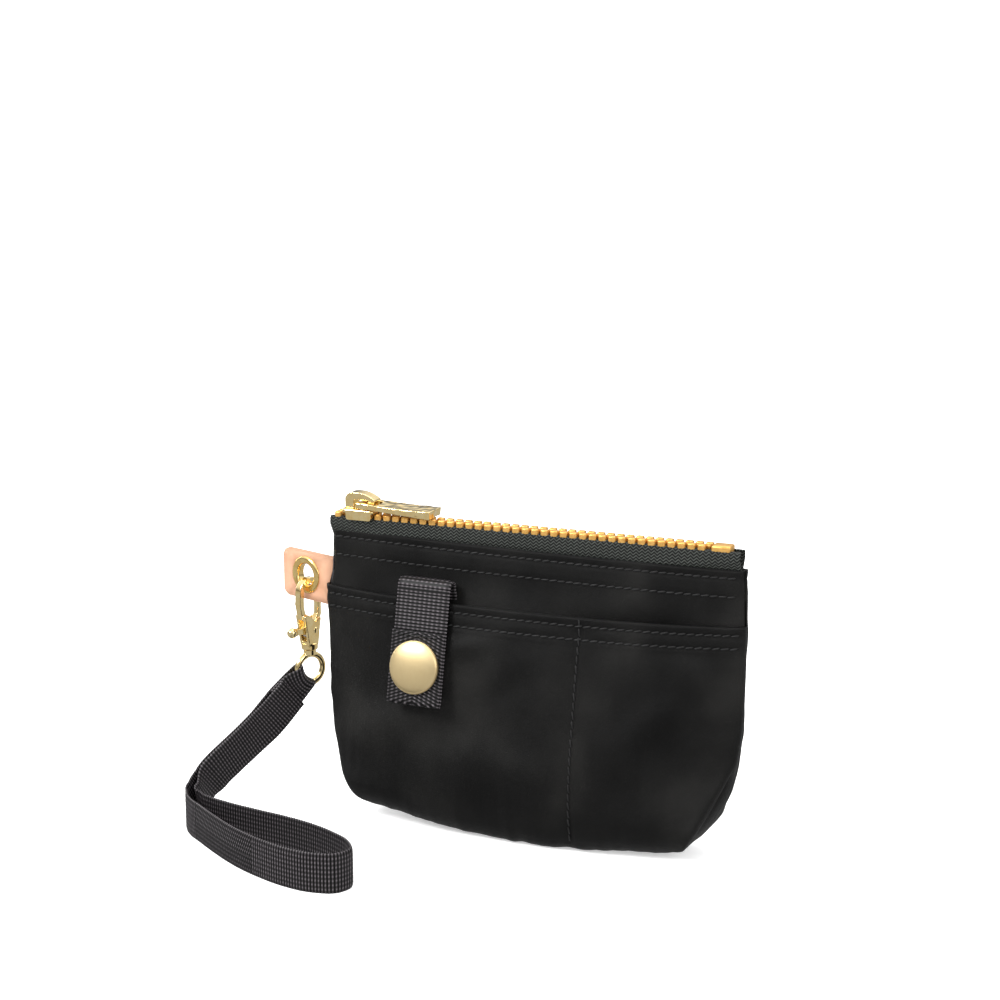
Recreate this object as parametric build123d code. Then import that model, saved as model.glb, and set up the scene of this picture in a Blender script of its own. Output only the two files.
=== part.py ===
from build123d import *
import os
from math import atan2, cos, degrees, hypot, radians, sin

# A small zipped pouch with a slip pocket, a snap tab, a leather lug and a wrist strap.
# Millimetres. X runs along the zip to the right, Y to the back, Z up.
# The origin is on the surface that the pouch stands on, under the middle of the pouch.

# --- pouch body -----------------------------------------------------------------------
FABRIC_TOP = 96.5
POCKET_TOP = 78.5
LINING_TOP = 87.5
FABRIC = 0.55
LINING = 0.35
LENS_POWER = 2.4
BASE_BLEND = 9.5
MOUTH_SLACK = 3.5
SLACK_START = 45.0
# height, half width, half depth in the middle, half depth at the side seam
SECTIONS = [
    (0.0, 44.0, 11.0, 4.0),
    (1.5, 50.0, 13.5, 6.0),
    (4.0, 56.0, 15.5, 8.0),
    (9.5, 62.0, 17.3, 10.5),
    (17.0, 66.5, 18.6, 8.0),
    (27.0, 70.0, 18.8, 5.0),
    (42.0, 72.3, 17.0, 2.8),
    (60.0, 73.0, 12.8, 2.2),
    (POCKET_TOP, 73.0, 7.6, 2.2),
    (FABRIC_TOP, 72.5, 4.9, 2.2),
]
# how far each layer's outer face lies inside the sections above
POCKET_INSET = 0.0
BACK_PANEL_INSET = 0.0
FRONT_PANEL_INSET = 0.7
FRONT_LINING_INSET = 1.35
BACK_LINING_INSET = 0.7

# --- zip ------------------------------------------------------------------------------
CHAIN_BOTTOM = 101.6
TOOTH_ROUND = 0.6
HEAD_ROUND = 0.4
HEAD_STEP = 0.25
CHAIN_THICK = 2.6
CHAIN_HALF = 2.7
CHAIN_MID = CHAIN_BOTTOM + CHAIN_THICK / 2
CHAIN_TOP = CHAIN_BOTTOM + CHAIN_THICK
PITCH = 3.3
TEETH = 37
FIRST_TOOTH = -60.6
TOOTH_LENGTH = 2.85
TOOTH_BACK = 1.1
HEAD_LENGTH = 1.35
HEAD_REACH = 0.85
TAPE = 0.5
TAPE_FACE = 3.25
TAPE_EDGE = 1.6
TAPE_BOTTOM = 88.0
TAPE_LEFT = -72.0
TAPE_RIGHT = 71.0
SLOT_GAP = 0.05
TOP_STOP = (-69.8, -67.4)
BOTTOM_STOP = (61.4, 67.8)
STOP_GAP = 0.3
STOP_ROUND = 0.4

# --- slider and pull ------------------------------------------------------------------
SLIDER_LEFT = -66.6
SLIDER_RIGHT = -54.6
SLIDER_HALF = 4.5
PLATE = 1.25
PLATE_GAP = 0.25
FLANGE = 1.05
FLANGE_BOTTOM = 102.0
LOWER_HALF = 2.4
LOWER_GAP = 0.7
POST_LENGTH = 3.7
POST_HALF = 0.9
CROWN_HALF = 2.4
CROWN_TOP = 111.0
PLATE_TOP = CHAIN_TOP + PLATE_GAP + PLATE
CROWN_LEFT = -66.0
CROWN_RIGHT = -55.0
CROWN_EYE = (5.2, 2.9)
PULL_X = -60.1
PULL_Z = PLATE_TOP + 1.45
PULL_BAR = 1.9
PULL_REACH = 26.2
PULL_WIDTH = 10.0
PULL_END_THICK = 2.7
PULL_WINDOW = (1.0, 6.4)
PULL_WINDOW_WIDTH = 5.8
PULL_SLOPE = 3.9

# --- snap tab -------------------------------------------------------------------------
TAB_X = -33.3
TAB_TURN = 3.0
WEB = 1.3
TAB_WIDTH = 19.0
FOLD_Y = -8.6
FOLD_Z = 83.3
FOLD_INNER = 1.4
ANCHOR_BOTTOM = 68.0
ANCHOR_LEAN = 2.85
TAB_BOTTOM = 45.0
TAB_LEAN = 7.86
HEM_TOP = 68.5
HEM_STEP = 0.4
CAP_DROP = 26.7
CAP_RADIUS = 8.75
CAP_HEIGHT = 2.6
CAP_RIM = 0.8
CAP_STEM = 1.5
SOCKET_RADIUS = 4.6
SOCKET_THICK = 1.5
STUD_RADIUS = 2.1
STUD_CLEAR = 0.1
STUD_FLANGE = 4.4
FLANGE_THICK = 0.45
STUD_FACE = -2 * WEB - SOCKET_THICK - 0.15
RIVET_GRIP = 1.5
RIVET_STEM = 0.9

# --- leather lug and eyelet -----------------------------------------------------------
LUG_TURN = 19.0
LUG_X = -84.4
LUG_Y = 5.6
LUG_Z = 79.0
LUG_OUT = 11.5
LUG_IN = 13.5
LUG_TOP = 87.2
LUG_BOTTOM = 70.2
LUG_THICK = 2.0
LUG_CORNER = 3.0
EYELET_HOLE = 3.8
EYELET_BARREL = 4.25
EYELET_FLANGE = 6.5
EYELET_LIP = 0.6

# --- swivel clasp ---------------------------------------------------------------------
ARCH_Z = 72.75
ARCH_INNER = 3.2
ARCH_OUTER = 5.3
HOOK_HALF = 1.25
CHEEK_HALF = 2.4
CHEEK_TOP = 65.0
CHEEK_BOTTOM = 54.0
SLOT_HALF = 1.25
SLOT_BOTTOM = 55.5
SLOT_FRONT_TOP = 63.3
NOSE_END = 70.3
GATE_HALF = 1.1
PIN_U = -0.9
PIN_Z = 59.2
PIN_RADIUS = 0.75
PIN_CLEAR = 0.05
COLLAR_RADIUS = 2.9
COLLAR_BOTTOM = 52.4
SWIVEL_POST = 1.0
SWIVEL_HOLE = 1.08
RIVET_RADIUS = 1.5
NECK_RADIUS = 2.2
RING_Z = 45.2
RING_RADIUS = 5.2
RING_WIRE = 1.1

# outlines in the clasp's plane: distance from its axis towards the spine, height
SPINE_OUTLINE = [
    (ARCH_INNER, ARCH_Z),
    (ARCH_OUTER, ARCH_Z),
    (ARCH_OUTER + 0.2, 69.0),
    (ARCH_OUTER - 0.4, 66.0),
    (ARCH_OUTER - 1.3, SLOT_FRONT_TOP),
    (ARCH_INNER - 1.0, SLOT_FRONT_TOP),
    (ARCH_INNER, 68.0),
]
CHEEK_OUTLINE = [
    (-2.7, 58.0),
    (-2.2, CHEEK_BOTTOM),
    (2.2, CHEEK_BOTTOM),
    (2.9, 57.5),
    (3.6, 61.5),
    (4.3, CHEEK_TOP),
    (2.5, CHEEK_TOP + 0.4),
    (-1.2, 62.2),
    (-3.8, 64.4),
    (-3.2, 61.5),
]
LEVER_OUTLINE = [
    (-2.3, 58.0),
    (1.0, 57.9),
    (5.4, 58.6),
    (7.6, 58.3),
    (7.6, 60.9),
    (5.4, 60.6),
    (0.6, 61.2),
    (-1.6, 61.9),
    (-3.2, 64.8),
    (-3.3, NOSE_END - 0.2),
    (-4.9, NOSE_END - 0.85),
    (-4.9, 64.2),
    (-3.0, 60.6),
]
THUMB_U = 8.1
THUMB_Z = 59.6
THUMB_RADIUS = 1.8
SPRING_OUTLINE = [
    (-2.1, 55.9),
    (-2.1, 56.3),
    (-1.0, 56.3),
    (2.0, 57.7),
    (2.2, 57.3),
    (-0.9, 55.9),
]
SPRING_HALF = 0.8
CAST_ROUND = 0.5
LEVER_ROUND = 0.35

# --- wrist strap ----------------------------------------------------------------------
STRAP_TURN = 28.8
STRAP_WIDTH = 13.0
STRAP_LAYER = 1.3
LOOP_CLEAR = 0.3
LOOP_ARC = 40.0
LOOP_PULL = -38.0
LOOP_END = 10.6
LOOP_STEPS = 44
# route of the webbing's centre line on the surface, seen from above
LOOP_ROUTE = [
    (-108.2, -38.4),
    (-97.5, -49.0),
    (-76.0, -64.6),
    (-57.0, -72.6),
    (-42.0, -74.8),
    (-34.6, -69.6),
    (-38.6, -60.0),
    (-57.0, -52.0),
    (-80.0, -47.4),
    (-99.0, -41.0),
]
# the doubled length from the ring to the surface: distance from the clasp's axis, height
LEAD_TOP = [(8.0, 47.0), (23.5, 35.4), (37.0, 26.6), (48.0, 18.6), (51.2, 12.4)]
LEAD_BOTTOM = [(46.5, 1.0), (40.6, 7.2), (29.4, 14.6), (15.4, 25.2), (1.6, 38.4)]


def save(name, *solids):
    """Write one sub-part, a group of closed solids, to its own file."""
    group = solids[0] if len(solids) == 1 else Compound(children=list(solids))
    export_step(group, f"parts/{name}.step")


def block(x0, x1, y0, y1, z0, z1):
    """A plain box between two opposite corners."""
    centre = ((x0 + x1) / 2, (y0 + y1) / 2, (z0 + z1) / 2)
    return Pos(*centre) * Box(x1 - x0, y1 - y0, z1 - z0)


# --- fabric ---------------------------------------------------------------------------
def lens_wire(z, half_width, middle, seam):
    """One level outline: two bowed long sides and two short ends."""
    steps = [-1, -0.8, -0.5, -0.2, 0.2, 0.5, 0.8, 1]
    depth = [seam + (middle - seam) * (1 - abs(s) ** LENS_POWER) for s in steps]
    front = [(s * half_width, -d, z) for s, d in zip(steps, depth)]
    back = [(s * half_width, d, z) for s, d in zip(steps, depth)][::-1]
    edges = [
        Spline(*front),
        Line(front[-1], back[0]),
        Spline(*back),
        Line(back[-1], front[0]),
    ]
    return Wire(edges)


def slack(z):
    """How far the pocket's mouth stands away from the panel behind it."""
    rise = max(0.0, z - SLACK_START) / (POCKET_TOP - SLACK_START)
    return MOUTH_SLACK * rise


def body_of_cloth(inset, top, loose=0.0):
    """A solid with the pouch's outer shape, shrunk by inset and cut off at top."""
    wires = []
    for z, half_width, middle, seam in SECTIONS:
        lift = inset * max(0.0, 1 - z / BASE_BLEND)
        extra = loose * slack(min(z, POCKET_TOP))
        wires.append(
            lens_wire(z + lift, half_width - inset, middle - inset + extra, seam - inset)
        )
    solid = Solid.make_loft(wires, ruled=True)
    return solid & block(-200, 200, -100, 100, -1, top)


def cloth_layer(inset, thick, top, front, loose=0.0):
    """The front or the back half of one layer of cloth."""
    outer = body_of_cloth(inset, top, loose)
    inner = body_of_cloth(inset + thick, FABRIC_TOP + 1, loose)
    near, far = (-100, 0) if front else (0, 100)
    return (outer - inner) & block(-200, 200, near, far, -1, top)


# --- zip ------------------------------------------------------------------------------
def tooth():
    """One moulded tooth of the front row, at x = 0, with a slot for the tape."""
    body = block(
        -TOOTH_LENGTH / 2, TOOTH_LENGTH / 2, -CHAIN_HALF, -TOOTH_BACK, CHAIN_BOTTOM, CHAIN_TOP
    )
    body = fillet(body.edges().filter_by(Axis.X).group_by(Axis.Y)[0], TOOTH_ROUND)
    head = block(
        -HEAD_LENGTH / 2,
        HEAD_LENGTH / 2,
        -TOOTH_BACK - 0.2,
        HEAD_REACH,
        CHAIN_BOTTOM + HEAD_STEP,
        CHAIN_TOP - HEAD_STEP,
    )
    head = fillet(head.edges().filter_by(Axis.Z).group_by(Axis.Y)[-1], HEAD_ROUND)
    return body + head - tape_slot(TOOTH_LENGTH)


def tape_slot(length):
    """The space that the front tape's edge needs inside a tooth or a stop."""
    half = TAPE / 2 + SLOT_GAP
    return block(
        -length, length, -CHAIN_HALF - 1, -TAPE_EDGE + SLOT_GAP, CHAIN_MID - half, CHAIN_MID + half
    )


def teeth_row(front):
    """A full row of teeth; the back row is mirrored and half a pitch along."""
    shift = 0 if front else PITCH / 2
    single = tooth()
    row = [Pos(FIRST_TOOTH + shift + PITCH * k, 0, 0) * single for k in range(TEETH)]
    if front:
        return row
    return [mirror(one, Plane.XZ) for one in row]


def top_stop(front):
    """The small block that ends one row at the closed end."""
    length = TOP_STOP[1] - TOP_STOP[0]
    stop = block(0, length, -CHAIN_HALF, -STOP_GAP, CHAIN_BOTTOM, CHAIN_TOP)
    stop = fillet(stop.edges().filter_by(Axis.X), STOP_ROUND) - tape_slot(length + 1)
    stop = Pos(TOP_STOP[0], 0, 0) * stop
    return stop if front else mirror(stop, Plane.XZ)


def bottom_stop():
    """The block that joins both rows at the open end."""
    length = BOTTOM_STOP[1] - BOTTOM_STOP[0]
    stop = block(0, length, -CHAIN_HALF, CHAIN_HALF, CHAIN_BOTTOM, CHAIN_TOP)
    stop = fillet(stop.edges().filter_by(Axis.X), STOP_ROUND)
    slot = tape_slot(length + 1)
    return Pos(BOTTOM_STOP[0], 0, 0) * (stop - slot - mirror(slot, Plane.XZ))


def tape(front):
    """One half of the zip tape: sewn leg, bend and the edge inside the teeth."""
    inner = TAPE_FACE - TAPE
    leg = block(TAPE_LEFT, TAPE_RIGHT, -TAPE_FACE, -inner, FABRIC_TOP, CHAIN_MID + TAPE / 2)
    sewn = block(TAPE_LEFT, TAPE_RIGHT, -TAPE_FACE, -inner, TAPE_BOTTOM, FABRIC_TOP)
    edge = block(
        TAPE_LEFT, TAPE_RIGHT, -inner - 0.1, -TAPE_EDGE, CHAIN_MID - TAPE / 2, CHAIN_MID + TAPE / 2
    )
    cavity = body_of_cloth(FRONT_PANEL_INSET + FABRIC + 0.05, FABRIC_TOP)
    half = leg + edge + (sewn & cavity)
    return half if front else mirror(half, Plane.XZ)


# --- slider and pull ------------------------------------------------------------------
def slider_body():
    """Two plates joined by the wedge that parts the teeth."""
    top = block(
        SLIDER_LEFT, SLIDER_RIGHT, -SLIDER_HALF, SLIDER_HALF, CHAIN_TOP + PLATE_GAP, PLATE_TOP
    )
    top = fillet(top.edges().filter_by(Axis.Z), 1.6)
    top = chamfer(top.edges().group_by(Axis.Z)[-1], 0.35)
    body = top
    for side in (-1, 1):
        y0, y1 = sorted((side * (SLIDER_HALF - FLANGE), side * SLIDER_HALF))
        flange = block(
            SLIDER_LEFT + 1.7, SLIDER_RIGHT - 1.0, y0, y1, FLANGE_BOTTOM, PLATE_TOP - 0.5
        )
        body += fillet(flange.edges().filter_by(Axis.Y).group_by(Axis.Z)[0], 0.9)
    lower_top = CHAIN_BOTTOM - LOWER_GAP
    lower = block(
        SLIDER_LEFT, SLIDER_RIGHT, -LOWER_HALF, LOWER_HALF, lower_top - PLATE, lower_top
    )
    lower = fillet(lower.edges().filter_by(Axis.Z), 1.2)
    post = block(
        SLIDER_LEFT + 0.3,
        SLIDER_LEFT + 0.3 + POST_LENGTH,
        -POST_HALF,
        POST_HALF,
        lower_top - 0.1,
        PLATE_TOP - 0.5,
    )
    return body + lower + post


def slider_crown():
    """The broad bridge over the slider that the pull hangs in."""
    shoulder = (CROWN_LEFT, PLATE_TOP + 3.0)
    peak = (CROWN_LEFT + 2.8, CROWN_TOP)
    brow = (CROWN_RIGHT, CROWN_TOP - 2.2)
    foot_left = (CROWN_LEFT + 0.2, PLATE_TOP)
    foot_right = (CROWN_RIGHT - 0.3, PLATE_TOP)
    outline = [
        Line(foot_left, shoulder),
        ThreePointArc(shoulder, (CROWN_LEFT + 0.8, CROWN_TOP - 0.8), peak),
        ThreePointArc(peak, (CROWN_RIGHT - 3.2, CROWN_TOP - 0.5), brow),
        Line(brow, foot_right),
        Line(foot_right, foot_left),
    ]
    side = Plane.XZ * make_face(outline)
    width, height = CROWN_EYE
    eye = block(
        PULL_X - width / 2, PULL_X + width / 2, -9, 9, PLATE_TOP - 1, PLATE_TOP + height
    )
    return extrude(side, CROWN_HALF, both=True) - eye


def pull_tab():
    """A flat bar with a window at the slider end, lying on the chain."""
    half = PULL_BAR / 2
    side = Polyline(
        (-half, -half),
        (PULL_REACH, -half),
        (PULL_REACH, -half + PULL_END_THICK),
        (PULL_REACH * 0.55, half),
        (-half, half),
        close=True,
    )
    bar = extrude(make_face(Plane.XZ * side), PULL_WIDTH / 2, both=True)
    bar = fillet(bar.edges().filter_by(Axis.Z), 0.6)
    x0, x1 = PULL_WINDOW
    width = PULL_WINDOW_WIDTH / 2
    window = block(x0 - 0.05, x1, -width, width, -5, 5)
    bar -= fillet(window.edges().filter_by(Axis.Z), 0.5)
    return Pos(PULL_X, 0, PULL_Z) * Rot(0, PULL_SLOPE, 0) * bar


# --- snap tab -------------------------------------------------------------------------
TAB_FRAME = Pos(TAB_X, FOLD_Y, FOLD_Z) * Rot(0, 0, -TAB_TURN)
TAB_ANGLE = degrees(atan2(TAB_LEAN, FOLD_Z - TAB_BOTTOM))
FLAP_FRAME = TAB_FRAME * Rot(-TAB_ANGLE, 0, 0)
TAB_LENGTH = hypot(TAB_LEAN, FOLD_Z - TAB_BOTTOM)
FOLD_OUTER = FOLD_INNER + WEB


def tab_anchor():
    """The sewn rear leg of the webbing and the fold over its top."""
    drop = FOLD_Z - ANCHOR_BOTTOM
    lean = degrees(atan2(ANCHOR_LEAN, drop))
    leg = Rot(-lean, 0, 0) * block(
        -TAB_WIDTH / 2, TAB_WIDTH / 2, FOLD_INNER, FOLD_OUTER, -drop, 0
    )
    ring = Rot(0, 90, 0) * (Cylinder(FOLD_OUTER, TAB_WIDTH) - Cylinder(FOLD_INNER, TAB_WIDTH))
    # the fold's front end stops just short of the flap that hangs from it
    keep = Rot(-TAB_ANGLE, 0, 0) * block(-20, 20, -10, 0, 0.05, 10)
    keep += Rot(-lean, 0, 0) * block(-20, 20, 0, 10, 0, 10)
    keep += block(-20, 20, -0.6, 0.6, 0, 10)
    return TAB_FRAME * (leg + (ring & keep))


def tab_flap():
    """The hanging leg with its doubled hem, pierced for the snap's stem."""
    half = TAB_WIDTH / 2
    leg = block(-half, half, -FOLD_OUTER, -FOLD_INNER, -TAB_LENGTH, 0)
    hem_half = half + HEM_STEP
    hem = block(
        -hem_half, hem_half, -FOLD_OUTER - WEB, -FOLD_OUTER, -TAB_LENGTH, HEM_TOP - FOLD_Z
    )
    hem = fillet(hem.edges().filter_by(Axis.X).group_by(Axis.Z)[0].group_by(Axis.Y)[0], 1.0)
    stem = snap_axis() * Cylinder(CAP_STEM + SLOT_GAP, 12)
    return FLAP_FRAME * (leg + hem - stem)


def snap_axis():
    """The snap's axis inside the flap's frame: its Z points away from the pouch."""
    return Pos(0, -FOLD_OUTER - WEB, -CAP_DROP) * Rot(90, 0, 0)


def snap_cap():
    """Domed cap with a rolled rim and the stem that goes through the webbing."""
    ball = (CAP_RADIUS**2 + CAP_HEIGHT**2) / (2 * CAP_HEIGHT)
    dome = Pos(0, 0, CAP_HEIGHT - ball) * Sphere(ball)
    dome &= Pos(0, 0, CAP_HEIGHT / 2) * Cylinder(CAP_RADIUS, CAP_HEIGHT)
    rim = Pos(0, 0, CAP_RIM / 2) * Cylinder(CAP_RADIUS, CAP_RIM)
    stem_length = 2 * WEB + SOCKET_THICK * 0.4
    stem = Pos(0, 0, -stem_length / 2) * Cylinder(CAP_STEM, stem_length)
    return FLAP_FRAME * snap_axis() * (rim + Pos(0, 0, CAP_RIM) * dome + stem)


def snap_socket():
    """The ring on the inner side of the flap that grips the stud."""
    top = -2 * WEB
    ring = Pos(0, 0, top - SOCKET_THICK / 2) * Cylinder(SOCKET_RADIUS, SOCKET_THICK)
    ring = chamfer(ring.edges().group_by(Axis.Z)[0], 0.4)
    bore = Cylinder(STUD_RADIUS + STUD_CLEAR, 20)
    return FLAP_FRAME * snap_axis() * (ring - bore)


def snap_stud():
    """The stud that faces the flap, on the pocket's outer side."""
    flange = Pos(0, 0, STUD_FACE - FLANGE_THICK / 2) * Cylinder(STUD_FLANGE, FLANGE_THICK)
    knob = Pos(0, 0, STUD_FACE + 0.4) * Cylinder(STUD_RADIUS, 0.9)
    return FLAP_FRAME * snap_axis() * (flange + knob)


def snap_post():
    """The rivet flange behind the pocket that holds the stud."""
    back = STUD_FACE - FLANGE_THICK - RIVET_GRIP
    stem = Pos(0, 0, back + RIVET_GRIP / 2) * Cylinder(RIVET_STEM, RIVET_GRIP)
    flange = Pos(0, 0, back - FLANGE_THICK / 2) * Cylinder(STUD_FLANGE, FLANGE_THICK)
    return FLAP_FRAME * snap_axis() * (flange + stem)


# --- leather lug and eyelet -----------------------------------------------------------
# inside this frame X points out of the lug's front face, Y up and Z away from the pouch
LUG_PLANE = Plane(
    origin=(LUG_X, LUG_Y, LUG_Z),
    x_dir=(-sin(radians(LUG_TURN)), -cos(radians(LUG_TURN)), 0),
    z_dir=(-cos(radians(LUG_TURN)), sin(radians(LUG_TURN)), 0),
)
EYELET_AXIS = LUG_PLANE.location * Rot(0, 90, 0)


def leather_lug():
    """A flat leather piece with rounded outer corners and a hole for the eyelet."""
    half = LUG_THICK / 2
    lug = block(-half, half, LUG_BOTTOM - LUG_Z, LUG_TOP - LUG_Z, -LUG_IN, LUG_OUT)
    lug = fillet(lug.edges().filter_by(Axis.X).group_by(Axis.Z)[-1], LUG_CORNER)
    hole = Rot(0, 90, 0) * Cylinder(EYELET_BARREL + 0.02, 10)
    return LUG_PLANE.location * (lug - hole)


def eyelet():
    """The front flange and the barrel through the leather."""
    half = LUG_THICK / 2
    flange = Pos(0, 0, half + EYELET_LIP / 2) * Cylinder(EYELET_FLANGE, EYELET_LIP)
    flange = fillet(flange.edges().group_by(Axis.Z)[-1], 0.4)
    barrel = Pos(0, 0, -EYELET_LIP / 2) * Cylinder(EYELET_BARREL, LUG_THICK + EYELET_LIP)
    return EYELET_AXIS * (flange + barrel - Cylinder(EYELET_HOLE, 10))


def eyelet_washer():
    """The ring that the barrel is rolled over at the back."""
    half = LUG_THICK / 2
    washer = Pos(0, 0, -half - EYELET_LIP / 2) * Cylinder(EYELET_FLANGE, EYELET_LIP)
    washer = fillet(washer.edges().group_by(Axis.Z)[0], 0.3)
    return EYELET_AXIS * (washer - Cylinder(EYELET_BARREL + 0.02, 10))


# --- swivel clasp ---------------------------------------------------------------------
# inside this frame X points to the spine side, Y up, and heights count from the surface
CLASP_PLANE = Plane(origin=(LUG_X, LUG_Y, 0), x_dir=LUG_PLANE.x_dir, z_dir=LUG_PLANE.z_dir)


def flat(half, outline):
    """A plate from an outline in the clasp's own plane, symmetric about that plane."""
    return extrude(make_face(Polyline(*outline, close=True)), half, both=True)


def upright(radius, low, high):
    """A round post on the clasp's axis, between two heights."""
    return Pos(0, (low + high) / 2, 0) * Rot(90, 0, 0) * Cylinder(radius, high - low)


def hook_body():
    """Arch, spine, two cheeks and the collar, cast in one piece."""
    arch = Pos(0, ARCH_Z, 0) * (
        Cylinder(ARCH_OUTER, 2 * HOOK_HALF) - Cylinder(ARCH_INNER, 2 * HOOK_HALF)
    )
    arch &= block(-10, 10, ARCH_Z, ARCH_Z + 10, -5, 5)
    nose = block(-ARCH_OUTER, -ARCH_INNER, NOSE_END, ARCH_Z, -HOOK_HALF, HOOK_HALF)
    spine = flat(HOOK_HALF, SPINE_OUTLINE)
    cheeks = flat(CHEEK_HALF, CHEEK_OUTLINE)
    cheeks = fillet(cheeks.edges().filter_by(Axis.Z), CAST_ROUND)
    slot = block(-8, 2.4, SLOT_BOTTOM, 80, -SLOT_HALF, SLOT_HALF)
    slot += block(2.0, 8, SLOT_BOTTOM, SLOT_FRONT_TOP, -SLOT_HALF, SLOT_HALF)
    pin = Pos(PIN_U, PIN_Z, 0) * Cylinder(PIN_RADIUS, 20)
    collar = upright(COLLAR_RADIUS, COLLAR_BOTTOM, CHEEK_BOTTOM + 0.6)
    bore = upright(SWIVEL_HOLE, COLLAR_BOTTOM - 1, SLOT_BOTTOM + 1)
    recess = upright(RIVET_RADIUS + 0.2, SLOT_BOTTOM - 0.6, SLOT_BOTTOM + 1.2)
    body = arch + nose + spine + (cheeks - slot - pin) + collar - bore - recess
    return CLASP_PLANE.location * body


def gate_lever():
    """The gate and its thumb knob, one lever on the pin between the cheeks."""
    lever = flat(GATE_HALF, LEVER_OUTLINE)
    lever = fillet(lever.edges().filter_by(Axis.Z), LEVER_ROUND)
    lever += Pos(THUMB_U, THUMB_Z, 0) * Sphere(THUMB_RADIUS)
    hole = Pos(PIN_U, PIN_Z, 0) * Cylinder(PIN_RADIUS + PIN_CLEAR, 20)
    return CLASP_PLANE.location * (lever - hole)


def gate_pin():
    """The rivet that the gate turns on."""
    pin = Pos(PIN_U, PIN_Z, 0) * Cylinder(PIN_RADIUS, 2 * CHEEK_HALF)
    return CLASP_PLANE.location * pin


def gate_spring():
    """A bent leaf in the channel under the lever."""
    return CLASP_PLANE.location * flat(SPRING_HALF, SPRING_OUTLINE)


# --- swivel ring and strap ------------------------------------------------------------
# inside this frame X points along the strap's first run, Y up, Z across the ring
STRAP_PLANE = Plane(
    origin=(LUG_X, LUG_Y, 0),
    x_dir=(-sin(radians(STRAP_TURN)), -cos(radians(STRAP_TURN)), 0),
    z_dir=(-cos(radians(STRAP_TURN)), sin(radians(STRAP_TURN)), 0),
)


def swivel_eye():
    """A round ring on a post that is riveted inside the collar."""
    ring = Pos(0, RING_Z, 0) * Torus(RING_RADIUS, RING_WIRE)
    top = RING_Z + RING_RADIUS
    neck = upright(NECK_RADIUS, top, COLLAR_BOTTOM - 0.15)
    post = upright(SWIVEL_POST, top, SLOT_BOTTOM - 0.4)
    rivet = upright(RIVET_RADIUS, SLOT_BOTTOM - 0.5, SLOT_BOTTOM + 0.2)
    return STRAP_PLANE.location * (ring + neck + post + rivet)


def strap_eye_loop():
    """The webbing's turn around the ring: a U swept about the ring's centre."""
    inner = RING_WIRE + LOOP_CLEAR
    outer = inner + STRAP_LAYER
    turn = Pos(RING_RADIUS, 0) * Circle(outer) - Pos(RING_RADIUS, 0) * Circle(inner)
    turn &= Pos(RING_RADIUS - 5, 0) * Rectangle(10, 2 * outer)
    legs = Pos((RING_RADIUS + LOOP_END) / 2, 0) * Rectangle(LOOP_END - RING_RADIUS, 2 * outer)
    legs -= Pos(RING_RADIUS + inner / 2 + 0.5, 0) * Rectangle(inner + 1, 2 * inner)
    section = Plane.XZ * (turn + legs)
    loop = revolve(section, axis=Axis.Z, revolution_arc=2 * LOOP_ARC)
    loop = Rot(0, 0, -LOOP_ARC) * loop
    return Pos(0, RING_Z, 0) * Rot(0, 0, LOOP_PULL) * loop


def strap_lead():
    """Both layers together, from the ring down to the surface."""
    outline = [
        Spline(*LEAD_TOP),
        Line(LEAD_TOP[-1], LEAD_BOTTOM[0]),
        Spline(*LEAD_BOTTOM),
        Line(LEAD_BOTTOM[-1], LEAD_TOP[0]),
    ]
    band = extrude(make_face(outline), STRAP_LAYER, both=True)
    keep_off = Pos(0, RING_Z, 0) * Cylinder(LOOP_END - 0.6, 20)
    return band - keep_off


def strap_loop():
    """The wrist loop that stands on its edge on the surface."""
    route = Spline(*LOOP_ROUTE, periodic=True)
    outer = make_face(beside(route, STRAP_LAYER / 2))
    inner = make_face(beside(route, -STRAP_LAYER / 2))
    return extrude(outer - inner, STRAP_WIDTH)


def beside(route, distance):
    """A closed curve that runs beside the route, to the right of its direction."""
    points = []
    for step in range(LOOP_STEPS):
        spot = route @ (step / LOOP_STEPS)
        along = route % (step / LOOP_STEPS)
        points.append(spot + Vector(along.Y, -along.X, 0) * distance)
    return Spline(*points, periodic=True)


def wrist_strap():
    """The whole webbing as one closed solid."""
    return STRAP_PLANE.location * (strap_eye_loop() + strap_lead()) + strap_loop()


def main():
    os.makedirs("parts", exist_ok=True)
    lug = leather_lug()
    front = cloth_layer(FRONT_PANEL_INSET, FABRIC, FABRIC_TOP, True) - lug
    back = cloth_layer(BACK_PANEL_INSET, FABRIC, FABRIC_TOP, False) - lug
    pocket = cloth_layer(POCKET_INSET, FABRIC, POCKET_TOP, True, loose=1.0) - lug
    pocket -= FLAP_FRAME * snap_axis() * Cylinder(RIVET_STEM + SLOT_GAP, 14)
    save("front_panel", front)
    save("back_panel", back)
    save("front_pocket", pocket)
    save("lining_front", cloth_layer(FRONT_LINING_INSET, LINING, LINING_TOP, True) - lug)
    save("lining_back", cloth_layer(BACK_LINING_INSET, LINING, LINING_TOP, False) - lug)
    save("tape_front", tape(True))
    save("tape_back", tape(False))
    save("teeth_front", *teeth_row(True))
    save("teeth_back", *teeth_row(False))
    save("top_stop_front", top_stop(True))
    save("top_stop_back", top_stop(False))
    save("bottom_stop", bottom_stop())
    save("slider_body", slider_body())
    save("slider_crown", slider_crown())
    save("pull_tab", pull_tab())
    save("tab_anchor", tab_anchor())
    save("tab_flap", tab_flap())
    save("snap_cap", snap_cap())
    save("snap_socket", snap_socket())
    save("snap_stud", snap_stud())
    save("snap_post", snap_post())
    save("leather_lug", lug)
    save("eyelet", eyelet())
    save("eyelet_washer", eyelet_washer())
    save("hook_body", hook_body())
    save("gate_lever", gate_lever())
    save("gate_pin", gate_pin())
    save("gate_spring", gate_spring())
    save("swivel_eye", swivel_eye())
    save("wrist_strap", wrist_strap())


main()
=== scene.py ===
import math
import random
from contextlib import contextmanager

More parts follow.
